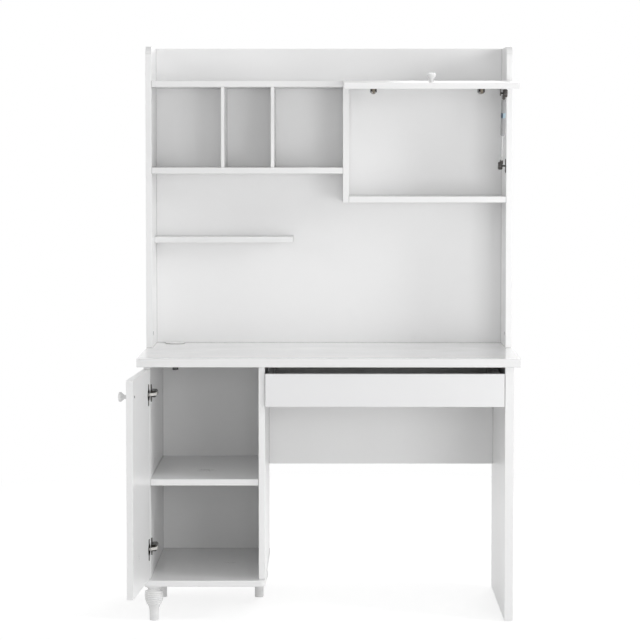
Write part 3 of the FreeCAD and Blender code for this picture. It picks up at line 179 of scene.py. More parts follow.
# %% Finishes
class Finish(NodeGraph):
    """A material with one Principled shader, read in the piece's own coordinates."""

    def __init__(self, name, colour, roughness, **fixed):
        self.material = bpy.data.materials.new(name)
        super().__init__(self.material)
        self.material.diffuse_color = (*colour, 1)
        self.shader = self.tree.nodes["Principled BSDF"]
        self.paint(Base_Color=colour, Roughness=roughness, **fixed)
        self.place = self.node("ShaderNodeTexCoord", output="Object")

    def paint(self, **inputs):
        """Feed the shader's sockets; an underscore stands for a space in a name."""
        for name, value in inputs.items():
            self.feed(self.shader.inputs[name.replace("_", " ")], value)

    def noise(self, scale, detail=2.0, roughness=0.5, at=None):
        """Soft random cloud between about 0.3 and 0.7; scale is in clouds per metre."""
        return self.node("ShaderNodeTexNoise", {},
                         {"Vector": at or self.place, "Scale": scale, "Detail": detail,
                          "Roughness": roughness})

    def mix(self, factor, first, second):
        """A colour between two colours."""
        return self.node("ShaderNodeMix", {"data_type": "RGBA"},
                         {0: factor, 6: first, 7: second}, output=2)

    def axes(self, at=None):
        """The X, Y and Z signals of a place."""
        return self.node("ShaderNodeSeparateXYZ", {}, {0: at or self.place}, output=(X, Y, Z))

    def bump(self, height, depth):
        """Small relief: height times depth is the real depth in metres."""
        self.paint(Normal=self.node("ShaderNodeBump", {}, {"Distance": depth, "Height": height}))


def dress(finish, *names):
    """Put a finish on CAD pieces without touching their shape, and count them."""
    for name in names:
        for slot in frame["nodes"][name].material_slots:
            slot.material = finish.material
    return len(names)


print("pieces to dress:", len(frame["nodes"]))

# %% [markdown]
# ## White coated board
# Every panel is chipboard with a white melamine coat on its faces and a plastic band on
# its cut edges. Where two boards meet, a dark line of painted shade stands for the shadow
# in a joint that is open by a hair. The gap could be modelled, but that would change the
# boards. So the shade is painted, from how far a point lies from the other board's box.


# %% Joints between boards
def grey(level):
    """A colour without a hue."""
    return (level, level, level)


JOINT_REACH = 1.8 * MM
JOINT_DEPTH = 0.55
JOINT_SHADE = (0.30, 0.295, 0.29)
TOUCHING_WITHIN = 0.5 * MM


def joint_shade(finish, board):
    """Painted shade: 1 on the line where another board touches, down to 0 a little way from it."""
    low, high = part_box(board)
    away = finish.place
    for operation, *other in (("SUBTRACT", (low + high) / 2), ("ABSOLUTE",),
                              ("SUBTRACT", (high - low) / 2)):
        away = finish.node("ShaderNodeVectorMath", {"operation": operation},
                           dict(enumerate((away, *other))))
    return finish.ramp(furthest("MAXIMUM", finish.axes(away)), 0, JOINT_REACH, (1, 0))


def neighbours(node, group):
    """The other boards of a group whose boxes touch this board's box."""
    low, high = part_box(node)
    slack = Vector((TOUCHING_WITHIN,) * 3)
    near = []
    for other in group:
        other_low, other_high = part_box(other)
        below, above = high + slack - other_low, other_high - low + slack
        if other != node and min(*below, *above) > 0:
            near.append(other)
    return near


print("a joint's shade reaches", JOINT_REACH / MM, "mm")

# %% [markdown]
# Close up a coated board is not one white. The coat has a fine orange-peel and a faint
# cloud in its sheen, the band is painted a shade greyer to dim its lit front edge, and a
# hairline shows where band and face meet. A picture wrapped round the board would blur.
# Noise stays sharp, and the hairline is where the distance from a plane is next to nothing.

# %% Board finish
# Painted shade: the band's and the drawer front's greyer whites tone down how bright these front
# faces come out.
BOARD_WHITE, WORKTOP_WHITE, BAND_SHADED_WHITE = grey(0.90), grey(0.93), grey(0.84)
FRONT_SHADED_WHITE = (0.815, 0.815, 0.82)
CLOUDS, PEEL, SPECKS = 7.0, 520.0, 2600.0
CLOUD_TONE = 0.975
CLOUD_SHEEN, SPECK_SHEEN = 0.10, 0.05
SPECK_HEIGHT, PEEL_DEPTH = 0.4, 0.016 * MM
SEAM_HALF, SEAM_INK, SEAM_CUT = 0.10 * MM, 0.6, 2.0
SEAM_SHADE = (0.60, 0.59, 0.57)
COAT_ROUGHNESS = 0.06


def board_finish(name, seams, touching=(), opened=None, white=BOARD_WHITE, band=None,
                 roughness=0.30, coat=0.0):
    """White coated board; seams are (axis, place, side) planes, the band on that side."""
    finish = Finish(name, white, roughness)
    place = finish.place
    if opened:
        pivot, turn = opened
        place = finish.node("ShaderNodeMapping", {"vector_type": "TEXTURE"},
                            {"Vector": place, "Location": pivot, "Rotation": turn})
    cloud = finish.noise(CLOUDS, detail=3.0, at=place)
    speck = finish.noise(SPECKS, detail=1.0, at=place)
    depth = finish.noise(PEEL, at=place)
    colour = finish.mix(cloud, white, tuple(shade * CLOUD_TONE for shade in white))
    along = finish.axes(place)
    for axis, seam, side in seams:
        beyond = (along[axis] - seam) * side
        if band:
            colour = finish.mix(beyond > 0, colour, band)
        line = abs(beyond) < SEAM_HALF
        colour = finish.mix(line * SEAM_INK, colour, SEAM_SHADE)
        depth = depth - line * SEAM_CUT
    # Painted shade along the joints with touching boards.
    if touching:
        shade = furthest("MAXIMUM", [joint_shade(finish, board) for board in touching])
        colour = finish.mix(shade * JOINT_DEPTH, colour, JOINT_SHADE)
    sheen = roughness + (cloud - 0.5) * CLOUD_SHEEN + (speck - 0.5) * SPECK_SHEEN
    finish.paint(Base_Color=colour, Roughness=sheen)
    finish.bump(depth + (speck - 0.5) * SPECK_HEIGHT, PEEL_DEPTH)
    if coat:
        finish.paint(Coat_Weight=coat, Coat_Roughness=COAT_ROUGHNESS)
    return finish


print("orange-peel depth in millimetres:", PEEL_DEPTH / MM)

# %% [markdown]
# A band is 1 mm thick, and 2 mm on the worktop, which chairs knock. Most boards are banded
# in front only, the worktop and the drawer's front all round. One finish could serve all,
# but each board has its own neighbours and painted joint shade. The drawer slides out, so
# it and the carcass don't shade each other.

# %% Boards
BAND, WORKTOP_BAND = 1.0 * MM, 2.0 * MM


def front_seam(name):
    """Where the front band of a board meets its faces."""
    return Y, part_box(name)[0].y + BAND, -1


def edge_seams(low, high, axes, band):
    """Band joints near both ends of a board, on each axis named."""
    return [seam for axis in axes
            for seam in ((axis, low[axis] + band, -1), (axis, high[axis] - band, 1))]


PLAIN, BANDED = {}, {"band": BAND_SHADED_WHITE}
POLISHED = {"roughness": 0.13, "coat": 0.4, "white": WORKTOP_WHITE, "band": BAND_SHADED_WHITE}
hutch_front = [front_seam("hutch_top_shelf")]
divider_front = [front_seam("pigeonhole_divider_left")]
cabinet_front = [front_seam("cabinet_left_side")]
shelf_end = (X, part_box("floating_shelf")[1].x - BAND, 1)
CARCASS = (
    ("hutch_left_side hutch_right_side hutch_back_panel", hutch_front, PLAIN),
    ("hutch_top_shelf flap_box_side flap_box_floor pigeonhole_shelf", hutch_front, BANDED),
    ("pigeonhole_divider_left pigeonhole_divider_right", divider_front, PLAIN),
    ("floating_shelf", [front_seam("floating_shelf"), shelf_end], BANDED),
    ("cabinet_left_side cabinet_right_side", cabinet_front, PLAIN),
    ("cabinet_shelf", [front_seam("cabinet_shelf")], BANDED),
    ("cabinet_base_board cabinet_back_panel modesty_panel", [], PLAIN),
    ("right_leg_panel", [front_seam("right_leg_panel")], BANDED),
    ("worktop", edge_seams(*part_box("worktop"), (X, Y), WORKTOP_BAND), POLISHED),
)
DRAWER = (
    ("drawer_left_side drawer_right_side drawer_back", [], PLAIN),
    ("drawer_front", edge_seams(*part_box("drawer_front"), (X, Z), BAND),
     {"white": FRONT_SHADED_WHITE}),
)
for rows in (CARCASS, DRAWER):
    group = [node for nodes, *_ in rows for node in nodes.split()]
    for nodes, seams, look in rows:
        for node in nodes.split():
            dress(board_finish(node + "_board", seams, neighbours(node, group), **look), node)
    print("boards that stay together:", len(group))

# %% [markdown]
# The door and the flap stand open, so their edges are not level with X, Y and Z. Their
# band joints could be slanted planes, but turning the coordinates back is simpler, by the
# joint's own angle about its own pin.

# %% Door and flap
joints = {joint["name"]: joint for joint in frame["joints"]}


def dress_panel(panel, turn, band=None):
    """Dress a panel that stands open about its pin as if it lay flat."""
    pivot = Vector(joints[panel + "_hinge"]["pos_m"])
    inverse = Euler(turn).to_matrix().inverted()
    flat = np.array([inverse @ (vertex.co - pivot)
                     for vertex in frame["nodes"][panel + "_panel"].data.vertices])
    seams = edge_seams(flat.min(axis=0), flat.max(axis=0), (X, Z), BAND)
    finish = board_finish(panel + "_board", seams, opened=(pivot, turn), band=band)
    dress(finish, panel + "_panel")


door_turn = Vector((0, 0, math.radians(-joints["door_hinge"]["range_deg"][1])))
flap_turn = Vector((math.radians(-joints["flap_hinge"]["range_deg"][1]), 0, 0))
dress_panel("door", door_turn)
dress_panel("flap", flap_turn, BAND_SHADED_WHITE)
print("door stands open by", joints["door_hinge"]["range_deg"][1], "degrees")

# %% [markdown]
# ## Lacquer
# Feet and knobs are turned wood under sprayed lacquer. One colour with an even gloss
# would look like plastic. Lacquer pools a little, so a cloud makes the gloss drift, and a
# wave along Z gives the faint rings of the lathe.

# %% Lacquer
LACQUER_POOLED = (0.77, 0.77, 0.765)
LATHE_RINGS = 160.0
lacquer = Finish("white_lacquer", BOARD_WHITE, 0.24)
pool = lacquer.noise(90.0)
lathe = lacquer.node("ShaderNodeTexWave", {"wave_type": "BANDS", "bands_direction": "Z"},
                     {"Vector": lacquer.place, "Scale": LATHE_RINGS, "Distortion": 1.5,
                      "Detail": 2.0}, output="Fac")
lacquer.paint(Base_Color=lacquer.mix(pool, BOARD_WHITE, LACQUER_POOLED),
              Roughness=0.16 + pool * 0.16)
lacquer.bump(pool * 2.0 + lathe * 0.5, 0.02 * MM)
print("lacquered pieces:", dress(lacquer, "foot_front_left", "foot_rear_left",
                                 "foot_rear_right", "door_knob", "flap_knob"))

# %% [markdown]
# ## Hardboard, plastic and beech
# The drawer's bottom is thin hardboard with a matt coat, and the grommet, glides and pins
# are moulded plastic. Even colours would look drawn. Their colour and sheen drift
# together, and one helper does that for every such finish. The dowels' beech needs two
# patterns: its pores are much finer than its grain.


# %% Hardboard, plastic and beech
def mottled(name, pale, dark, sheen, swing, relief, scale, detail=2.0, grain=0.5, **fixed):
    """A finish whose colour, sheen and relief follow one fine cloud."""
    finish = Finish(name, pale, sheen, **fixed)
    cloud = finish.noise(scale, detail, grain)
    finish.paint(Base_Color=finish.mix(cloud, pale, dark), Roughness=sheen + cloud * swing)
    if relief:
        finish.bump(cloud, relief * MM)
    return finish


hardboard = mottled("white_hardboard", (0.78, 0.78, 0.77), (0.72, 0.72, 0.71), 0.45, 0.2, 0.05,
                    scale=900.0, detail=4.0, grain=0.7)
moulded_plastic = mottled("white_plastic", (0.94, 0.94, 0.93), (0.90, 0.90, 0.89), 0.18, 0.12,
                          0.015, scale=1400.0)
beech = Finish("beech_dowel", (0.60, 0.42, 0.25), 0.6)
grain, pores = beech.noise(300.0, detail=4.0, roughness=0.6), beech.noise(2200.0, detail=1.0)
beech.paint(Base_Color=beech.mix(grain, (0.66, 0.48, 0.30), (0.50, 0.33, 0.19)),
            Roughness=0.5 + pores * 0.2)
beech.bump(grain + pores * 0.5, 0.1 * MM)
dress(hardboard, "drawer_bottom")
dress(beech, "wood_dowels")
print("plastic pieces:", dress(moulded_plastic, "cable_grommet_liner", "cable_grommet_cap",
                               "leg_glides", "shelf_pins"))

# %% [markdown]
# ## Plated metal
# Hinges are nickel plated, screws, cams and rails zinc plated. Plating is never even:
# broad clouds dull it and fine brushing runs one way. A plain mirror would only show the
# room. Stretching the noise along the brushing turns specks into strokes.

# %% Metal finish
EVEN, ALONG_Y = (1.0, 1.0, 1.0), (1.0, 0.06, 1.0)
STROKES, TARNISH = 900.0, 110.0
STROKE_SHEEN, TARNISH_SHEEN = 0.18, 0.14


def metal_finish(name, bright, dull, sheen, stretch=EVEN, relief=0.01, metallic=1.0,
                 shaded_flanks=None):
    """Plated or brushed metal; stretch is how far the brushing runs along X, Y and Z."""
    finish = Finish(name, bright, sheen, Metallic=metallic)
    brushed = finish.node("ShaderNodeMapping", {"vector_type": "POINT"},
                          {"Vector": finish.place, "Scale": stretch})
    stroke = finish.noise(STROKES, at=brushed)
    tarnish = finish.noise(TARNISH, detail=3.0)
    colour = finish.mix(tarnish, bright, dull)
    # Painted shade: whatever lies beyond half a crown from an arm's middle takes the dark colour.
    if shaded_flanks:
        axis, middles, half_crown, shade = shaded_flanks
        along = finish.axes()[axis]
        off = furthest("MINIMUM", [abs(along - middle) for middle in middles])
        colour = finish.mix(off > half_crown, colour, shade)
    finish.paint(Base_Color=colour, Roughness=sheen + (stroke - 0.5) * STROKE_SHEEN
                 + (tarnish - 0.5) * TARNISH_SHEEN)
    finish.bump(stroke, relief * MM)
    return finish


print("brushing is drawn out", round(1 / ALONG_Y[Y]), "times along a rail")

# %% [markdown]
# ## Reading the solids
# Some finishes and most new pieces take their places from the solids. Numbers copied
# from the plan would be left behind when it changes. A node can hold several solids, and
# a walk along the edges parts them.


# %% Parting solids
def solids_of(node):
    """The solids of a CAD node, each as the places of its corners."""
    bm = bmesh.new()
    bm.from_mesh(frame["nodes"][node].data)
    bmesh.ops.remove_doubles(bm, verts=bm.verts, dist=0.005 * MM)
    known = set()
    solids = []
    for start in bm.verts:
        if start in known:
            continue
        known.add(start)
        reached = [start]
        for vertex in reached:
            for edge in vertex.link_edges:
                other = edge.other_vert(vertex)
                if other not in known:
                    known.add(other)
                    reached.append(other)
        solids.append(np.array([vertex.co for vertex in reached]))
    bm.free()
    return solids


def middle_of(corners):
    """Centre of the box around a solid."""
    return (corners.min(axis=0) + corners.max(axis=0)) / 2


print("hinge arms on the door's side:", len(solids_of("door_hinge_arms")))

# %% [markdown]
# ## Hinge arms
# A hinge arm is pressed from sheet into a channel. Its bent flanks are painted dark as
# shade, and its crown keeps the bright nickel. A mask painted by hand would do, but the
# flanks are simply what lies further from an arm's middle than half a crown.

# %% Hinge arms
HALF_CROWN = 5.2 * MM
NICKEL_SHADE = (0.030, 0.028, 0.026)


def dress_arms(panel, axis, *look):
    """Nickel for a panel's hinge arms, which stand in a row along an axis, with painted shade on
    their flanks.
    """
    node = panel + "_hinge_arms"
    middles = sorted(float(middle_of(corners)[axis]) for corners in solids_of(node))
    shaded_flanks = axis, middles, HALF_CROWN, NICKEL_SHADE
    dress(metal_finish(panel + "_arm_nickel_shaded", *look, shaded_flanks=shaded_flanks), node)


dress_arms("door", Z, (0.78, 0.77, 0.75), (0.50, 0.48, 0.45), 0.28)
# The flap's arms are the same nickel, painted darker and browner as shade.
dress_arms("flap", X, (0.34, 0.30, 0.25), (0.24, 0.21, 0.17), 0.30)
print("half a crown is", HALF_CROWN / MM, "mm")

# %% [markdown]
# The other metals differ in their two greys, their sheen and their relief: cast cams are
# duller and rougher than turned screws, and rolled rails are brushed along their length.
# The strut's brackets and the clamp's nut are oiled steel, so they are less metallic.

# %% Metals
# The hinges' plates and cups are nickel painted nearly black, as painted shade of the cabinet's
# interior.
shaded_hinge_steel = metal_finish("shaded_hinge_steel", (0.085, 0.080, 0.074), (0.040, 0.037, 0.034), 0.28)
screw_zinc = metal_finish("screw_zinc", (0.42, 0.41, 0.39), (0.28, 0.27, 0.26), 0.32)
handle_steel = metal_finish("handle_steel", grey(0.13), grey(0.07), 0.36)
cam_zinc = metal_finish("cam_zinc", grey(0.24), grey(0.15), 0.45, relief=0.03)
runner_zinc = metal_finish("runner_zinc", (0.58, 0.58, 0.59), (0.46, 0.46, 0.48), 0.32, ALONG_Y)
bracket_steel = metal_finish("bracket_steel", (0.050, 0.045, 0.040), (0.022, 0.020, 0.018),
                             0.38, relief=0.02, metallic=0.6)
nut_steel = metal_finish("nut_steel", grey(0.10), grey(0.05), 0.40, relief=0.02, metallic=0.7)
dress(shaded_hinge_steel, "door_hinge_plates", "flap_hinge_plates", "door_hinge_cups",
      "flap_hinge_cups")
dress(screw_zinc, "foot_bolts", "hutch_cam_bolts", "hinge_plate_screws", "door_cup_screws",
      "flap_cup_screws", "door_knob_screw", "flap_knob_screw")
dress(cam_zinc, "hutch_cams")
dress(runner_zinc, *(f"{side}_runner_{part}" for side in ("left", "right")
                     for part in ("outer_rail", "inner_rail", "ball_cage")))
dress(bracket_steel, "strut_wall_bracket", "strut_flap_bracket")
dress(nut_steel, "worktop_clamp_nut")
print("finishes so far:", len(bpy.data.materials))

# %% [markdown]
# ## Turned pieces
# Feet, knobs, screws, cams and sockets are all round about a line. A cylinder could be
# scaled ring by ring, but a turner draws one outline and spins it, and so does the spin
# operator. The arcs of an outline lie on the circle through three places, found with
# complex numbers, where a turn is a product.


# %% Outlines and turning
def bend(profile, through, end, steps):
    """Carry an outline on along the circle through its last place and two more."""
    a, b, c = (complex(*place) for place in (profile[-1], through, end))
    skew = (c - a) / (b - a)
    middle = a + (b - a) * (skew - abs(skew) ** 2) / (2j * skew.imag)
    first, second, last = (cmath.phase(place - middle) for place in (a, b, c))
    sweep = (last - first) % math.tau
    if (second - first) % math.tau > sweep:
        sweep -= math.tau
    for step in range(1, steps + 1):
        point = middle + (a - middle) * cmath.rect(1, sweep * step / steps)
        profile.append((point.real, point.imag))


def turned(profile, steps, matrix=Matrix.Identity(4)):
    """A skin turned from (radius, height) points in millimetres about Z, then moved."""
    bm = bmesh.new()
    points = [bm.verts.new((radius * MM, 0, height * MM)) for radius, height in profile]
    edges = [bm.edges.new(pair) for pair in zip(points, points[1:])]
    bmesh.ops.spin(bm, geom=points + edges, cent=(0, 0, 0), axis=(0, 0, 1), angle=math.tau,
                   steps=steps, use_merge=True)
    bmesh.ops.remove_doubles(bm, verts=bm.verts, dist=0.002 * MM)
    bmesh.ops.recalc_face_normals(bm, faces=bm.faces)
    bmesh.ops.transform(bm, matrix=matrix, verts=bm.verts)
    return bm


quarter = [(1, 0)]
bend(quarter, (0.6, 0.8), (0, 1), 2)
print("a quarter round in two steps:", [(round(x, 2), round(y, 2)) for x, y in quarter])

# %% [markdown]
# A turned skin stands on Z at the origin. Its object could be moved, but then its pattern
# slides. So the mesh is moved, the object stays at the origin, and it rides on the body
# that carries it.

# %% Placing pieces
SMOOTH_BELOW = math.radians(32)


def mesh_of(bm, name="skin"):
    """Write a skin out as a mesh."""
    mesh = bpy.data.meshes.new(name)
    bm.to_mesh(mesh)
    bm.free()
    return mesh


def standing(point, outward, twist=0.0):
    """The matrix that puts a piece drawn on Z at a point, with Z turned outward."""
    return (Matrix.Translation(point) @ outward.to_track_quat("Z", "Y").to_matrix().to_4x4()
            @ Matrix.Rotation(twist, 4, "Z"))


def gather(copies):
    """One skin from (mesh, matrix) pairs."""
    bm = bmesh.new()
    for mesh, matrix in copies:
        known = len(bm.verts)
        bm.from_mesh(mesh)
        bm.verts.ensure_lookup_table()
        bmesh.ops.transform(bm, matrix=matrix, verts=bm.verts[known:])
    return bm


def add_piece(name, bm, body, slot, finish, *hidden):
    """Make a piece of a skin, let it ride on a body and hide the nodes it stands for."""
    bmesh.ops.recalc_face_normals(bm, faces=bm.faces)
    mesh = mesh_of(bm, name)
    mesh.shade_smooth()
    mesh.set_sharp_from_angle(angle=SMOOTH_BELOW)
    mesh.materials.append(finish.material)
    piece = put_in_scene(name, mesh)
    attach(piece, body)
    if hidden:
        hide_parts(*hidden)
    return piece


print("edges sharper than", round(math.degrees(SMOOTH_BELOW)), "degrees stay sharp")

# %% [markdown]
# ## Feet
# Each foot is one piece of turned wood: a straight tip with an eased edge, a concave
# rise, a bulb with seven beads, a neck and a round plate under the base board. Beads made
# as rings would leave seams, so they are arcs of the outline, and their grooves lie on
# the bulb's own curve.

# %% Feet
FOOT_HEIGHT = 101.0
TIP_RADIUS, TIP_HEIGHT, TIP_EDGE = 13.4, 27.0, 2.0
BEADS, BEADS_START, BEAD_PITCH, BEAD_SWELL = 7, 46.5, 5.6, 1.9
BULB_RADIUS, BULB_MIDDLE, BULB_CURVE = 25.7, 73.0, 0.0096
NECK_RADIUS, NECK_RISE, PLATE_RADIUS, PLATE_THICK, PLATE_EDGE = 17.5, 3.5, 26.0, 4.0, 1.0
ROUND_OFF = 0.3
RISE_HOLLOW, NECK_HOLLOW = (0.38, 0.55), (0.3, 0.68)
FOOT_STEPS = 96


def bulb(height):
    """Radius of the bulb at a height, at the bottom of a bead's groove."""
    return BULB_RADIUS - BULB_CURVE * (height - BULB_MIDDLE) ** 2


def between(start, end, parts):
    """A place some part of the way from start to end, in radius and in height."""
    return tuple(a + part * (b - a) for a, b, part in zip(start, end, parts))


def foot_profile():
    """The outline of a foot, from the floor up."""
    profile = [(0, 0), (TIP_RADIUS - TIP_EDGE, 0)]
    bend(profile, (TIP_RADIUS - ROUND_OFF * TIP_EDGE, ROUND_OFF * TIP_EDGE),
         (TIP_RADIUS, TIP_EDGE), 5)
    profile.append((TIP_RADIUS, TIP_HEIGHT))
    first = bulb(BEADS_START), BEADS_START
    bend(profile, between(profile[-1], first, RISE_HOLLOW), first, 10)
    for bead in range(BEADS):
        low = BEADS_START + bead * BEAD_PITCH
        crest, high = low + BEAD_PITCH / 2, low + BEAD_PITCH
        bend(profile, (bulb(crest) + BEAD_SWELL, crest), (bulb(high), high), 8)
    profile.append((NECK_RADIUS, profile[-1][1] + NECK_RISE))
    plate = PLATE_RADIUS - PLATE_EDGE, FOOT_HEIGHT - PLATE_THICK
    bend(profile, between(profile[-1], plate, NECK_HOLLOW), plate, 8)
    return profile + [(PLATE_RADIUS, plate[1] + PLATE_EDGE), (PLATE_RADIUS, FOOT_HEIGHT),
                      (0, FOOT_HEIGHT)]


for foot in ("foot_front_left", "foot_rear_left", "foot_rear_right"):
    low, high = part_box(foot)
    skin = turned(foot_profile(), FOOT_STEPS, Matrix.Translation(
        ((low.x + high.x) / 2, (low.y + high.y) / 2, low.z)))
    add_piece("turned_" + foot, skin, "carcass", "white_lacquer", lacquer, foot)
print("points in a foot's outline:", len(foot_profile()))

# %% [markdown]
# ## Knobs
# A knob has a small foot on the board, a slim neck, a cone that opens to a thick rim and
# a low dome. It is turned like a foot, but stands square to a panel that is open by an
# odd angle. That angle could be typed in, but it comes from the panel's joint and stays
# right.

# %% Knobs
KNOB_RADIUS, KNOB_HEIGHT, KNOB_RIM, KNOB_DOME = 13.8, 27.0, 9.0, 2.4
KNOB_FOOT, KNOB_FOOT_THICK, KNOB_STEPS = 8.0, 1.5, 72
KNOB_WAIST, KNOB_NECK_TOP, DOME_SHOULDER = (5.6, 7.02), (6.3, 10.8), (8.28, 26.28)
EASED_BELOW, EASED_ABOVE, DOME_FLAT = 1.0, 0.8, 1.0
FORWARD = Vector((0, -1, 0))


def knob_profile():
    """The outline of a knob, from the board outwards."""
    rim_low, rim_high = KNOB_HEIGHT - KNOB_RIM, KNOB_HEIGHT - KNOB_DOME
    profile = [(0, 0), (KNOB_FOOT, 0), (KNOB_FOOT, KNOB_FOOT_THICK)]
    bend(profile, KNOB_WAIST, KNOB_NECK_TOP, 10)
    profile.append((KNOB_RADIUS - EASED_BELOW, rim_low))
    bend(profile, (KNOB_RADIUS, (rim_low + rim_high) / 2), (KNOB_RADIUS - EASED_ABOVE, rim_high),
         8)
    bend(profile, DOME_SHOULDER, (DOME_FLAT, KNOB_HEIGHT), 10)
    return profile + [(0, KNOB_HEIGHT)]


def lowest_ring(node, outward):
    """Middle of the flat end of a node that lies furthest back along a direction."""
    corners = np.array([vertex.co for vertex in frame["nodes"][node].data.vertices])
    height = corners @ np.array(outward)
    return Vector(middle_of(corners[height < height.min() + 0.01 * MM]))


for panel, turn in (("door", door_turn), ("flap", flap_turn)):
    outward = Euler(turn).to_matrix() @ FORWARD
    skin = turned(knob_profile(), KNOB_STEPS,
                  standing(lowest_ring(panel + "_knob", outward), outward))
    add_piece(panel + "_turned_knob", skin, panel, "white_lacquer", lacquer, panel + "_knob")
    print(panel, "knob faces", [round(value, 2) for value in outward])

# %% [markdown]
# ## Driver's crosses
# Screws and cams have a tapered cross for the driver. In the outline it would become
# round, so it is cut afterwards: a flat cross is pulled down into a tapered plug, and a
# Boolean takes that plug out of the turned skin.


# %% Cutting a cross
def cross_cutter(half_length, half_width, top, bottom):
    """A tapered plug with a driver's cross; lengths in millimetres."""
    bm = bmesh.new()
    upper = []
    for quarter in range(4):
        turn = Matrix.Rotation(quarter * math.pi / 2, 3, "Z")
        for x, y in ((half_length, -half_width), (half_length, half_width),
                     (half_width, half_width)):
            upper.append(bm.verts.new(turn @ Vector((x, y, top)) * MM))
    made = bmesh.ops.extrude_face_region(bm, geom=[bm.faces.new(upper)])["geom"]
    lower = [piece for piece in made if isinstance(piece, bmesh.types.BMVert)]
    bmesh.ops.scale(bm, verts=lower, vec=(0.45, 0.7, 1))
    bmesh.ops.translate(bm, verts=lower, vec=(0, 0, (bottom - top) * MM))
    bmesh.ops.recalc_face_normals(bm, faces=bm.faces)
    return bm


def cut(body, tool):
    """Cut one closed skin out of another and return the mesh that is left."""
    things = [put_in_scene("cutting", mesh_of(bm)) for bm in (body, tool)]
    step = things[0].modifiers.new("cut", "BOOLEAN")
    step.operation = "DIFFERENCE"
    step.solver = "EXACT"
    step.object = things[1]
    graph = bpy.context.evaluated_depsgraph_get()
    left = bpy.data.meshes.new_from_object(things[0].evaluated_get(graph))
    for thing in things:
        bpy.data.meshes.remove(thing.data)
    return left


print("a cross is cut with", len(mesh_of(cross_cutter(2.0, 0.5, 1.0, -1.0)).polygons), "faces")

# %% [markdown]
# ## Screws
# Every screw has a low pan head. Made each in its place, they would repeat one shape over
# and over, so one of each size is turned and cut, and copies go to the seats that the
# solids give. A driver never stops twice at the same angle, and neither do the crosses.

# %% Screws
HEAD_HEIGHT, HEAD_EDGE, POINT_LENGTH, SCREW_STEPS = 1.0, 0.12, 1.5, 28
HEAD_FLAT, CROWN_OUT, CROWN_UP, POINT_TIP = 0.45, 0.82, 0.66, 0.4
CROSS_LENGTH, CROSS_WIDTH, CROSS_START, CROSS_BOTTOM = 0.56, 0.13, 1.4, -0.35
TWIST = math.radians(37)
screw_meshes = {}


def screw_fit(corners):
    """Seat, outward direction, head radius, shank radius and length of one screw."""
    middle = corners.mean(axis=0)
    along = np.linalg.svd(corners - middle, full_matrices=False)[2][0]
    height = (corners - middle) @ along
    spread = np.linalg.norm(corners - middle - np.outer(height, along), axis=1)
    if height[spread.argmax()] < 0:
        along, height = -along, -height
    seat, tip = height[spread.argmax()], height.min()
    shank = spread[height < tip + 0.1 * MM].max()
    return Vector(middle + along * seat), Vector(along), spread.max(), shank, seat - tip


def screw_mesh(head, shank, length):
    """One screw on Z with its seat at 0 and its crown up; sizes in millimetres."""
    profile = [(0, HEAD_HEIGHT), (HEAD_FLAT * head, HEAD_HEIGHT)]
    bend(profile, (CROWN_OUT * head, CROWN_UP * HEAD_HEIGHT), (head, HEAD_EDGE), 6)
    profile += [(head, 0), (shank, 0), (shank, POINT_LENGTH - length),
                (POINT_TIP * shank, -length), (0, -length)]
    return cut(turned(profile, SCREW_STEPS),
               cross_cutter(CROSS_LENGTH * head, CROSS_WIDTH * head, CROSS_START, CROSS_BOTTOM))


def screw_copies(fits):
    """A skin with a screw for every fit that screw_fit gives."""
    copies = []
    for index, (seat, outward, *sizes) in enumerate(fits):
        size = tuple(round(value / MM, 1) for value in sizes)
        if size not in screw_meshes:
            screw_meshes[size] = screw_mesh(*size)
        copies.append((screw_meshes[size], standing(seat, outward, TWIST * index)))
    return gather(copies)


for name, body, node, finish in (
        ("carcass_screws", "carcass", "hinge_plate_screws", screw_zinc),
        ("door_hinge_screws", "door", "door_cup_screws", screw_zinc),
        ("flap_hinge_screws", "flap", "flap_cup_screws", screw_zinc),
        ("door_handle_screw", "door", "door_knob_screw", handle_steel),
        ("flap_handle_screw", "flap", "flap_knob_screw", handle_steel)):
    fits = [screw_fit(corners) for corners in solids_of(node)]
    add_piece(name, screw_copies(fits), body, "zinc_screw", finish, node)
print("screw sizes in millimetres:", sorted(screw_meshes))

# %% [markdown]
# A hinge arm also has a small screw nearer its neck that sets the side gap. It has no
# solid to read, so it stands on the same crown, a fixed way in front of the long screw
# that clamps the arm.

# %% Hinge adjusting screws
ADJUST_FORWARD = Vector((0, -27 * MM, 0))
ADJUST_SIZES = (3.0 * MM, 1.5 * MM, 6.0 * MM)
hinge_screws = [screw_fit(corners) for corners in solids_of("hinge_plate_screws")]
longest = max(fit[-1] for fit in hinge_screws)
adjusters = [(seat + ADJUST_FORWARD, outward, *ADJUST_SIZES)
             for seat, outward, *_, length in hinge_screws if length > longest - 1 * MM]
add_piece("hinge_adjusting_screws", screw_copies(adjusters), "carcass", "zinc_screw",
          screw_zinc)
print("arms with an adjusting screw:", len(adjusters))

# %% [markdown]
# ## Cams
# A cam lock is a zinc drum in the hutch's side that pulls its bolt tight. Only its face
# shows, with an eased rim and a cross. It could be a flat disc, but its rim catches the
# light, so it is turned and cut like a screw.

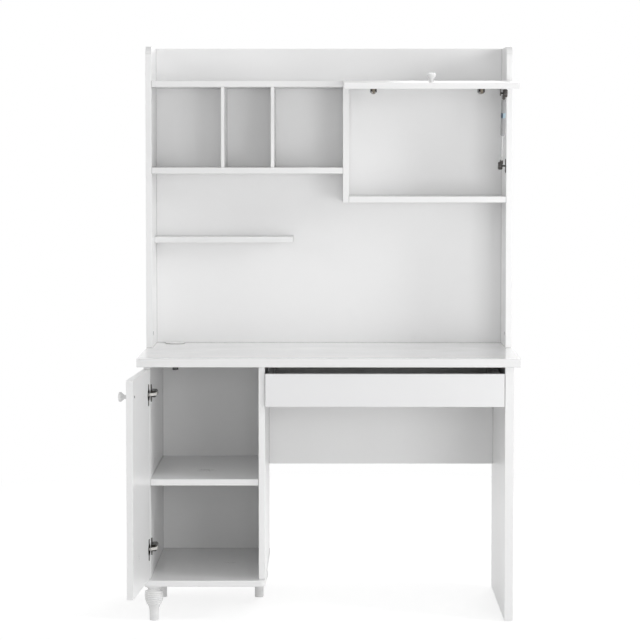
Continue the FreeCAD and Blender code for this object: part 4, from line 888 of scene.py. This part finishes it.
# %% Cams
CAM_RADIUS, CAM_DEPTH, CAM_FACE, CAM_STEP, CAM_EDGE, CAM_EDGE_OFF = 7.4, 12.5, 6.5, 0.35, 0.5, 0.15
CAM_CROSS = (4.4, 0.8, 0.5, -3.0)
CAM_STEPS, CAM_TWIST = 48, math.radians(25)
cam_profile = [(0, 0), (CAM_FACE, 0), (CAM_FACE, -CAM_STEP), (CAM_RADIUS - CAM_EDGE, -CAM_STEP)]
bend(cam_profile, (CAM_RADIUS - CAM_EDGE_OFF, -CAM_STEP - CAM_EDGE_OFF),
     (CAM_RADIUS, -CAM_STEP - CAM_EDGE), 4)
cam_profile += [(CAM_RADIUS, -CAM_DEPTH), (0, -CAM_DEPTH)]
cam_mesh = cut(turned(cam_profile, CAM_STEPS), cross_cutter(*CAM_CROSS))
cams = []
for corners in solids_of("hutch_cams"):
    centre = Vector(middle_of(corners))
    inward = Vector((-math.copysign(1, centre.x), 0, 0))
    reach = (corners[:, X].max() - corners[:, X].min()) / 2
    cams.append((cam_mesh, standing(centre + inward * reach, inward, CAM_TWIST)))
add_piece("hutch_cam_locks", gather(cams), "carcass", "zinc_cam", cam_zinc, "hutch_cams")
print("cams:", len(cams))

# %% [markdown]
# ## Gas strut
# The strut has moulded sockets, a painted tube, a polished rod and a light sleeve. The
# tube carries a plain pale blue band, and its left half is painted deep blue as shade. The
# band could be a picture, but two flat colours need only the side of a plane on which a
# point lies, and a little grain.

# %% Strut finishes
socket_plastic = Finish("socket_plastic", (0.060, 0.054, 0.050), 0.42)
pebble, haze = socket_plastic.noise(2400.0), socket_plastic.noise(160.0)
socket_plastic.paint(Base_Color=socket_plastic.mix(haze, (0.085, 0.076, 0.070),
                                                   (0.034, 0.031, 0.029)),
                     Roughness=0.34 + pebble * 0.2)
socket_plastic.bump(pebble, 0.03 * MM)
tube_paint = mottled("tube_paint", (0.37, 0.37, 0.375), (0.31, 0.31, 0.315), 0.24, 0.14, 0,
                     scale=120.0, Metallic=0.3)
rod_chrome = metal_finish("rod_chrome", grey(0.68), (0.58, 0.58, 0.59), 0.12, relief=0.002)
clip_steel = metal_finish("clip_steel", (0.50, 0.50, 0.49), (0.38, 0.37, 0.36), 0.24,
                          relief=0.004)
sleeve_plastic = mottled("sleeve_plastic", (0.52, 0.52, 0.51), (0.44, 0.44, 0.435), 0.34, 0.16,
                         0.01, scale=1800.0)

STRUT_TOP = Vector(joints["strut_pivot"]["pos_m"])
# Painted shade: the band's left half is drawn in a deep blue, its right half in the band's own
# pale blue.
BLUE_SHADED, BLUE_PALE = (0.012, 0.040, 0.075), (0.33, 0.46, 0.53)
band_ink = Finish("band_ink", BLUE_PALE, 0.35)
print_grain = band_ink.noise(1500.0)
BAND_SHADE_EDGE = STRUT_TOP.x - 1.5 * MM
shaded_half = band_ink.axes()[X] < BAND_SHADE_EDGE
band_blue_and_shade = band_ink.mix(shaded_half, BLUE_PALE, BLUE_SHADED)
band_ink.paint(Base_Color=band_ink.mix(print_grain * 0.12, band_blue_and_shade, grey(0.5)),
               Roughness=0.30 + print_grain * 0.12)
print("the two blues meet at X =", round(BAND_SHADE_EDGE, 4))

# %% [markdown]
# The sockets are screwed on both ends and snap over ball studs, and a wire clip in a
# groove keeps each on its ball. Each end could have its own outline, but drawn from its
# ball's middle one serves both. The housing sits beside the strut's line, the collar on
# it.

# %% Strut sockets
SOCKET_TAIL, SOCKET_BODY, SOCKET_END = 10.0, 11.0, 19.0
SOCKET_RADIUS, SOCKET_SHIFT, SOCKET_EDGE, SOCKET_EDGE_OFF = 7.0, 3.5, 1.5, 0.44
GROOVE_HALF, GROOVE_FLOOR_HALF, GROOVE_DEPTH, CLIP_WIRE = 0.9, 0.6, 0.5, 0.45
COLLAR_RADIUS, COLLAR_OVERLAP, RELIEF_DEPTH, SUNK = 4.8, 3.0, 0.4, 0.1


def housing_profile():
    """A socket's body, with rounded rims and the clip's groove over the ball."""
    rim, off = SOCKET_RADIUS - SOCKET_EDGE, SOCKET_RADIUS - SOCKET_EDGE_OFF
    groove = SOCKET_RADIUS - GROOVE_DEPTH
    profile = [(0, -SOCKET_TAIL), (rim, -SOCKET_TAIL)]
    bend(profile, (off, SOCKET_EDGE_OFF - SOCKET_TAIL),
         (SOCKET_RADIUS, SOCKET_EDGE - SOCKET_TAIL), 6)
    profile += [(SOCKET_RADIUS, -GROOVE_HALF), (groove, -GROOVE_FLOOR_HALF),
                (groove, GROOVE_FLOOR_HALF), (SOCKET_RADIUS, GROOVE_HALF),
                (SOCKET_RADIUS, SOCKET_BODY - SOCKET_EDGE)]
    bend(profile, (off, SOCKET_BODY - SOCKET_EDGE_OFF), (rim, SOCKET_BODY), 6)
    return profile + [(0, SOCKET_BODY)]


def collar_profile():
    """The part of a socket that is screwed on the strut."""
    start, relief = SOCKET_BODY - COLLAR_OVERLAP, COLLAR_RADIUS - RELIEF_DEPTH
    steps = ((COLLAR_RADIUS, 3.0), (relief, 2.6), (relief, 2.0), (COLLAR_RADIUS, 1.6),
             (COLLAR_RADIUS, 0.5), (COLLAR_RADIUS - 0.5, 0.0), (0, 0.0))
    return ([(0, start), (COLLAR_RADIUS, start)]
            + [(radius, SOCKET_END - back) for radius, back in steps])


def clip_profile():
    """The closed round section of the wire clip."""
    return [(SOCKET_RADIUS - SUNK + CLIP_WIRE * math.cos(turn), CLIP_WIRE * math.sin(turn))
            for turn in (math.tau * step / 12 for step in range(13))]


print("a socket is", SOCKET_TAIL + SOCKET_END, "mm long")

# %% [markdown]
# The tube is hollow and the rod carries a piston inside it, so that the strut can draw
# out. Solid bars would look the same, but they would run through each other. Heights run
# up the strut from the stud on the hutch's side, and the tube's own from its mouth.

# %% Strut tube, rod and sleeve
STRUT_LENGTH = 238.71
TUBE_RADIUS, TUBE_WALL, TUBE_LENGTH, TUBE_NECK, TUBE_NECK_RADIUS = 6.8, 1.0, 113.0, 5.0, 4.0
TUBE_START = STRUT_LENGTH - SOCKET_END - TUBE_NECK - TUBE_LENGTH
TUBE_BOTTOM, GUIDE_DEPTH, CRIMP_LOW, CRIMP_HIGH, CRIMP_DEPTH = 2.0, 3.0, 5.0, 6.6, 0.35
MOUTH_SINK, MOUTH_LIP, MOUTH_EDGE, MOUTH_OFF = 0.6, 1.4, 1.0, 0.3
SHOULDER, SHOULDER_OFF, NECK_HIDDEN = 1.6, 0.47, 1.0
ROD_RADIUS, ROD_PLAY, PISTON_START, PISTON_LENGTH = 2.5, 0.2, 5.0, 6.0
SLEEVE_RADIUS, SLEEVE_START, SLEEVE_LENGTH, TAPER_IN, TAPER_UP = 3.3, 18.0, 14.0, 0.5, 0.6
BAND_TOP, BAND_WIDTH, BAND_PROUD = 54.5, 16.0, 0.12
inner, throat = TUBE_RADIUS - TUBE_WALL, ROD_RADIUS + ROD_PLAY

# From the closed end inside to the mouth, then the crimp, the shoulder and the neck.
bottom = TUBE_LENGTH - TUBE_BOTTOM
tube_profile = [(0, bottom), (inner, bottom), (inner, GUIDE_DEPTH), (throat, GUIDE_DEPTH),
                (throat, MOUTH_SINK), (TUBE_RADIUS - MOUTH_LIP, MOUTH_SINK),
                (TUBE_RADIUS - MOUTH_EDGE, 0)]
bend(tube_profile, (TUBE_RADIUS - MOUTH_OFF, MOUTH_OFF), (TUBE_RADIUS, MOUTH_EDGE), 5)
tube_profile.append((TUBE_RADIUS, CRIMP_LOW))
bend(tube_profile, (TUBE_RADIUS - CRIMP_DEPTH, (CRIMP_LOW + CRIMP_HIGH) / 2),
     (TUBE_RADIUS, CRIMP_HIGH), 6)
tube_profile.append((TUBE_RADIUS, TUBE_LENGTH - SHOULDER))
bend(tube_profile, (TUBE_RADIUS - SHOULDER_OFF, TUBE_LENGTH - SHOULDER_OFF),
     (TUBE_RADIUS - SHOULDER, TUBE_LENGTH), 6)
neck_end = TUBE_LENGTH + TUBE_NECK + NECK_HIDDEN
tube_profile += [(TUBE_NECK_RADIUS, TUBE_LENGTH), (TUBE_NECK_RADIUS, neck_end), (0, neck_end)]

piston, piston_end = TUBE_START + PISTON_START, TUBE_START + PISTON_START + PISTON_LENGTH
rod_profile = [(0, SOCKET_END), (ROD_RADIUS, SOCKET_END), (ROD_RADIUS, piston),
               (inner - ROD_PLAY, piston), (inner - ROD_PLAY, piston_end), (0, piston_end)]
sleeve_end = SLEEVE_START + SLEEVE_LENGTH
sleeve_profile = [(ROD_RADIUS, SLEEVE_START), (SLEEVE_RADIUS, SLEEVE_START),
                  (SLEEVE_RADIUS, sleeve_end - TAPER_UP), (SLEEVE_RADIUS - TAPER_IN, sleeve_end),
                  (ROD_RADIUS, sleeve_end), (ROD_RADIUS, SLEEVE_START)]


def box_profile(inside, outside, low, high):
    """The closed outline of a flat ring."""
    return [(inside, low), (outside, low), (outside, high), (inside, high), (inside, low)]


band_low = TUBE_START + TUBE_LENGTH - BAND_TOP
band_profile = box_profile(TUBE_RADIUS - SUNK, TUBE_RADIUS + BAND_PROUD, band_low,
                           band_low + BAND_WIDTH)
print("the tube starts", round(TUBE_START, 2), "mm up the strut")

# %% [markdown]
# The upper socket and the tube ride on one body, the rod and the lower socket on the
# other, and each end is placed from the joint that the frame gives. The upper socket
# looks down the strut, so its direction is turned round.

# %% Strut pieces
STRUT_STEPS = 56
strut_line = Vector(joints["strut_stroke"]["axis"])
strut_foot = STRUT_TOP - strut_line * STRUT_LENGTH * MM
tube_foot = strut_foot + strut_line * TUBE_START * MM
tube_body, rod_body = "strut_cylinder_body", "strut_rod_body"
upper, lower, beside = (STRUT_TOP, -strut_line), (strut_foot, strut_line), SOCKET_SHIFT
strut_pieces = (
    ("strut_tube", [(tube_profile, 0)], (tube_foot, strut_line), tube_body,
     "strut_cylinder", tube_paint, "strut_cylinder"),
    ("strut_band", [(band_profile, 0)], lower, tube_body, "strut_cylinder", band_ink),
    ("strut_upper_socket", [(housing_profile(), beside), (collar_profile(), 0)], upper,
     tube_body, "strut_bracket_steel", socket_plastic),
    ("strut_upper_clip", [(clip_profile(), beside)], upper, tube_body, "zinc_screw", clip_steel),
    ("strut_polished_rod", [(rod_profile, 0)], lower, rod_body, "strut_rod", rod_chrome,
     "strut_rod"),
    ("strut_sleeve", [(sleeve_profile, 0)], lower, rod_body, "strut_rod", sleeve_plastic),
    ("strut_lower_socket", [(housing_profile(), -beside), (collar_profile(), 0)], lower,
     rod_body, "strut_bracket_steel", socket_plastic),
    ("strut_lower_clip", [(clip_profile(), -beside)], lower, rod_body, "zinc_screw", clip_steel),
)
for name, profiles, (start, along), body, slot, finish, *hidden in strut_pieces:
    skin = gather((mesh_of(turned(profile, STRUT_STEPS)),
                   standing(start + Vector((shift * MM, 0, 0)), along))
                  for profile, shift in profiles)
    add_piece(name, skin, body, slot, finish, *hidden)
print("strut pieces:", len(strut_pieces))

# %% [markdown]
# ## Shadow ring under the grommet
# A thin dark ring under the grommet's flange is painted shade made solid: it stands for
# the shadow line under the rim. A ring painted on the worktop would be flat. A raised one
# stays right from every side.

# %% Grommet shadow ring
SHADOW_RING_INNER, SHADOW_RING_OUTER, SHADOW_RING_LOW, SHADOW_RING_HIGH, SHADOW_RING_STEPS = 28.4, 30.2, 0.05, 0.9, 96
grommet_shadow_ring = mottled("grommet_shadow_ring", grey(0.14), grey(0.06), 0.7, 0.25, 0.08, scale=3000.0,
                    detail=3.0, grain=0.7)
liner_low, liner_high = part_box("cable_grommet_liner")
shadow_ring_place = (liner_low + liner_high) / 2
shadow_ring_place.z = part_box("worktop")[1].z
shadow_ring = turned(box_profile(SHADOW_RING_INNER, SHADOW_RING_OUTER, SHADOW_RING_LOW, SHADOW_RING_HIGH), SHADOW_RING_STEPS,
              Matrix.Translation(shadow_ring_place))
add_piece("cable_grommet_shadow_ring", shadow_ring, "carcass", "grey_plastic", grommet_shadow_ring)
print("seal lies at", round(shadow_ring_place.z, 3), "m")

# %% [markdown]
# ## Floor
# The floor takes the desk's shadow near it and turns into plain white further out. More
# light would whiten it, but would bleach the desk. So the floor glows a little, and past
# the shadow it is pure white, but only to the camera, in a mirror or through glass.


# %% Floor
def seen(graph):
    """1 for rays from the camera, a mirror or through glass, 0 for light that bounces."""
    return furthest("MAXIMUM", graph.node("ShaderNodeLightPath", output=(
        "Is Camera Ray", "Is Glossy Ray", "Is Transmission Ray")))


WHITE_SEEN, FLOOR_GLOW = 1.0, 0.42
FLOOR_HALF, FLOOR_DROP = 9.0, 0.0002
SHADOW_RADIUS, SHADOW_FADE, SHADOW_THIN = 1.9, 1.2, 0.45
bm = bmesh.new()
bmesh.ops.create_grid(bm, x_segments=2, y_segments=2, size=FLOOR_HALF)
bmesh.ops.translate(bm, verts=bm.verts, vec=(0, 0, -FLOOR_DROP))
floor = put_in_scene("floor", mesh_of(bm, "floor"))
floor_finish = Finish("floor_white", grey(0.88), 0.9, Specular_IOR_Level=0.0)
floor_finish.paint(Emission_Color=seen(floor_finish), Emission_Strength=FLOOR_GLOW)
far = floor_finish.node("ShaderNodeVectorMath", {"operation": "LENGTH"},
                        {0: floor_finish.place}, output="Value")
fade = floor_finish.ramp(far, SHADOW_RADIUS, SHADOW_RADIUS + SHADOW_FADE, (SHADOW_THIN, 1),
                         "SMOOTHSTEP")
plain_white = floor_finish.node("ShaderNodeEmission", {},
                                {"Color": grey(1), "Strength": WHITE_SEEN})
blend = floor_finish.node("ShaderNodeMixShader", {}, {
    0: fade * seen(floor_finish), 1: Signal(floor_finish, floor_finish.shader.outputs[0]),
    2: plain_white})
floor_finish.feed(floor_finish.tree.nodes["Material Output"].inputs["Surface"], blend)
floor.data.materials.append(floor_finish.material)
print("floor reaches", FLOOR_HALF, "m each way")

# %% [markdown]
# ## Room and lamps
# White boards show their shape only by small steps of grey. One strong lamp would cut
# hard shadows, and an even room alone would flatten all. So two soft boxes at the sides
# and a low one reach into the bays at a slant, and narrow bays fall darker than wide
# ones. A weak one evens the fronts, one lights the back, and the room fills in.

# %% Room and lamps
ROOM_FILL = 0.51
world = bpy.data.worlds.new("white_room")
bpy.context.scene.world = world
room = NodeGraph(world)
background = room.tree.nodes["Background"].inputs
room.feed(background["Color"], grey(1))
room.feed(background["Strength"], room.ramp(seen(room), 0, 1, (ROOM_FILL, WHITE_SEEN)))

SOFT_BOX_SIDE = 1.4
DESK_MIDDLE = Vector((0, 0, 0.85))
SOFT_BOXES = {  # degrees round from the camera's side, height, watts, distance
    "soft_box_side_right": (70, 2.2, 58, 4.0),
    "soft_box_side_left": (-70, 2.2, 17, 4.0),
    "soft_box_low_right": (25, 0.8, 30, 4.0),
    "soft_box_front": (0, 1.5, 26, 7.4),
    "soft_box_back": (165, 2.4, 45, 4.0),
}
for name, (azimuth, height, power, distance) in SOFT_BOXES.items():
    data = bpy.data.lights.new(name, "AREA")
    data.shape = "SQUARE"
    data.size = SOFT_BOX_SIDE
    data.energy = power
    lamp = put_in_scene(name, data)
    turn = math.radians(azimuth)
    lamp.location = (distance * math.sin(turn), -distance * math.cos(turn), height)
    lamp.rotation_euler = (DESK_MIDDLE - lamp.location).to_track_quat("-Z", "Y").to_euler()
print("lamps:", len(SOFT_BOXES))

# %% [markdown]
# ## Colour view
# The picture uses the Standard view, so a colour shows as it is written. A filmic view
# would grey the whites.

# %% View transform
bpy.context.scene.view_settings.view_transform = "Standard"
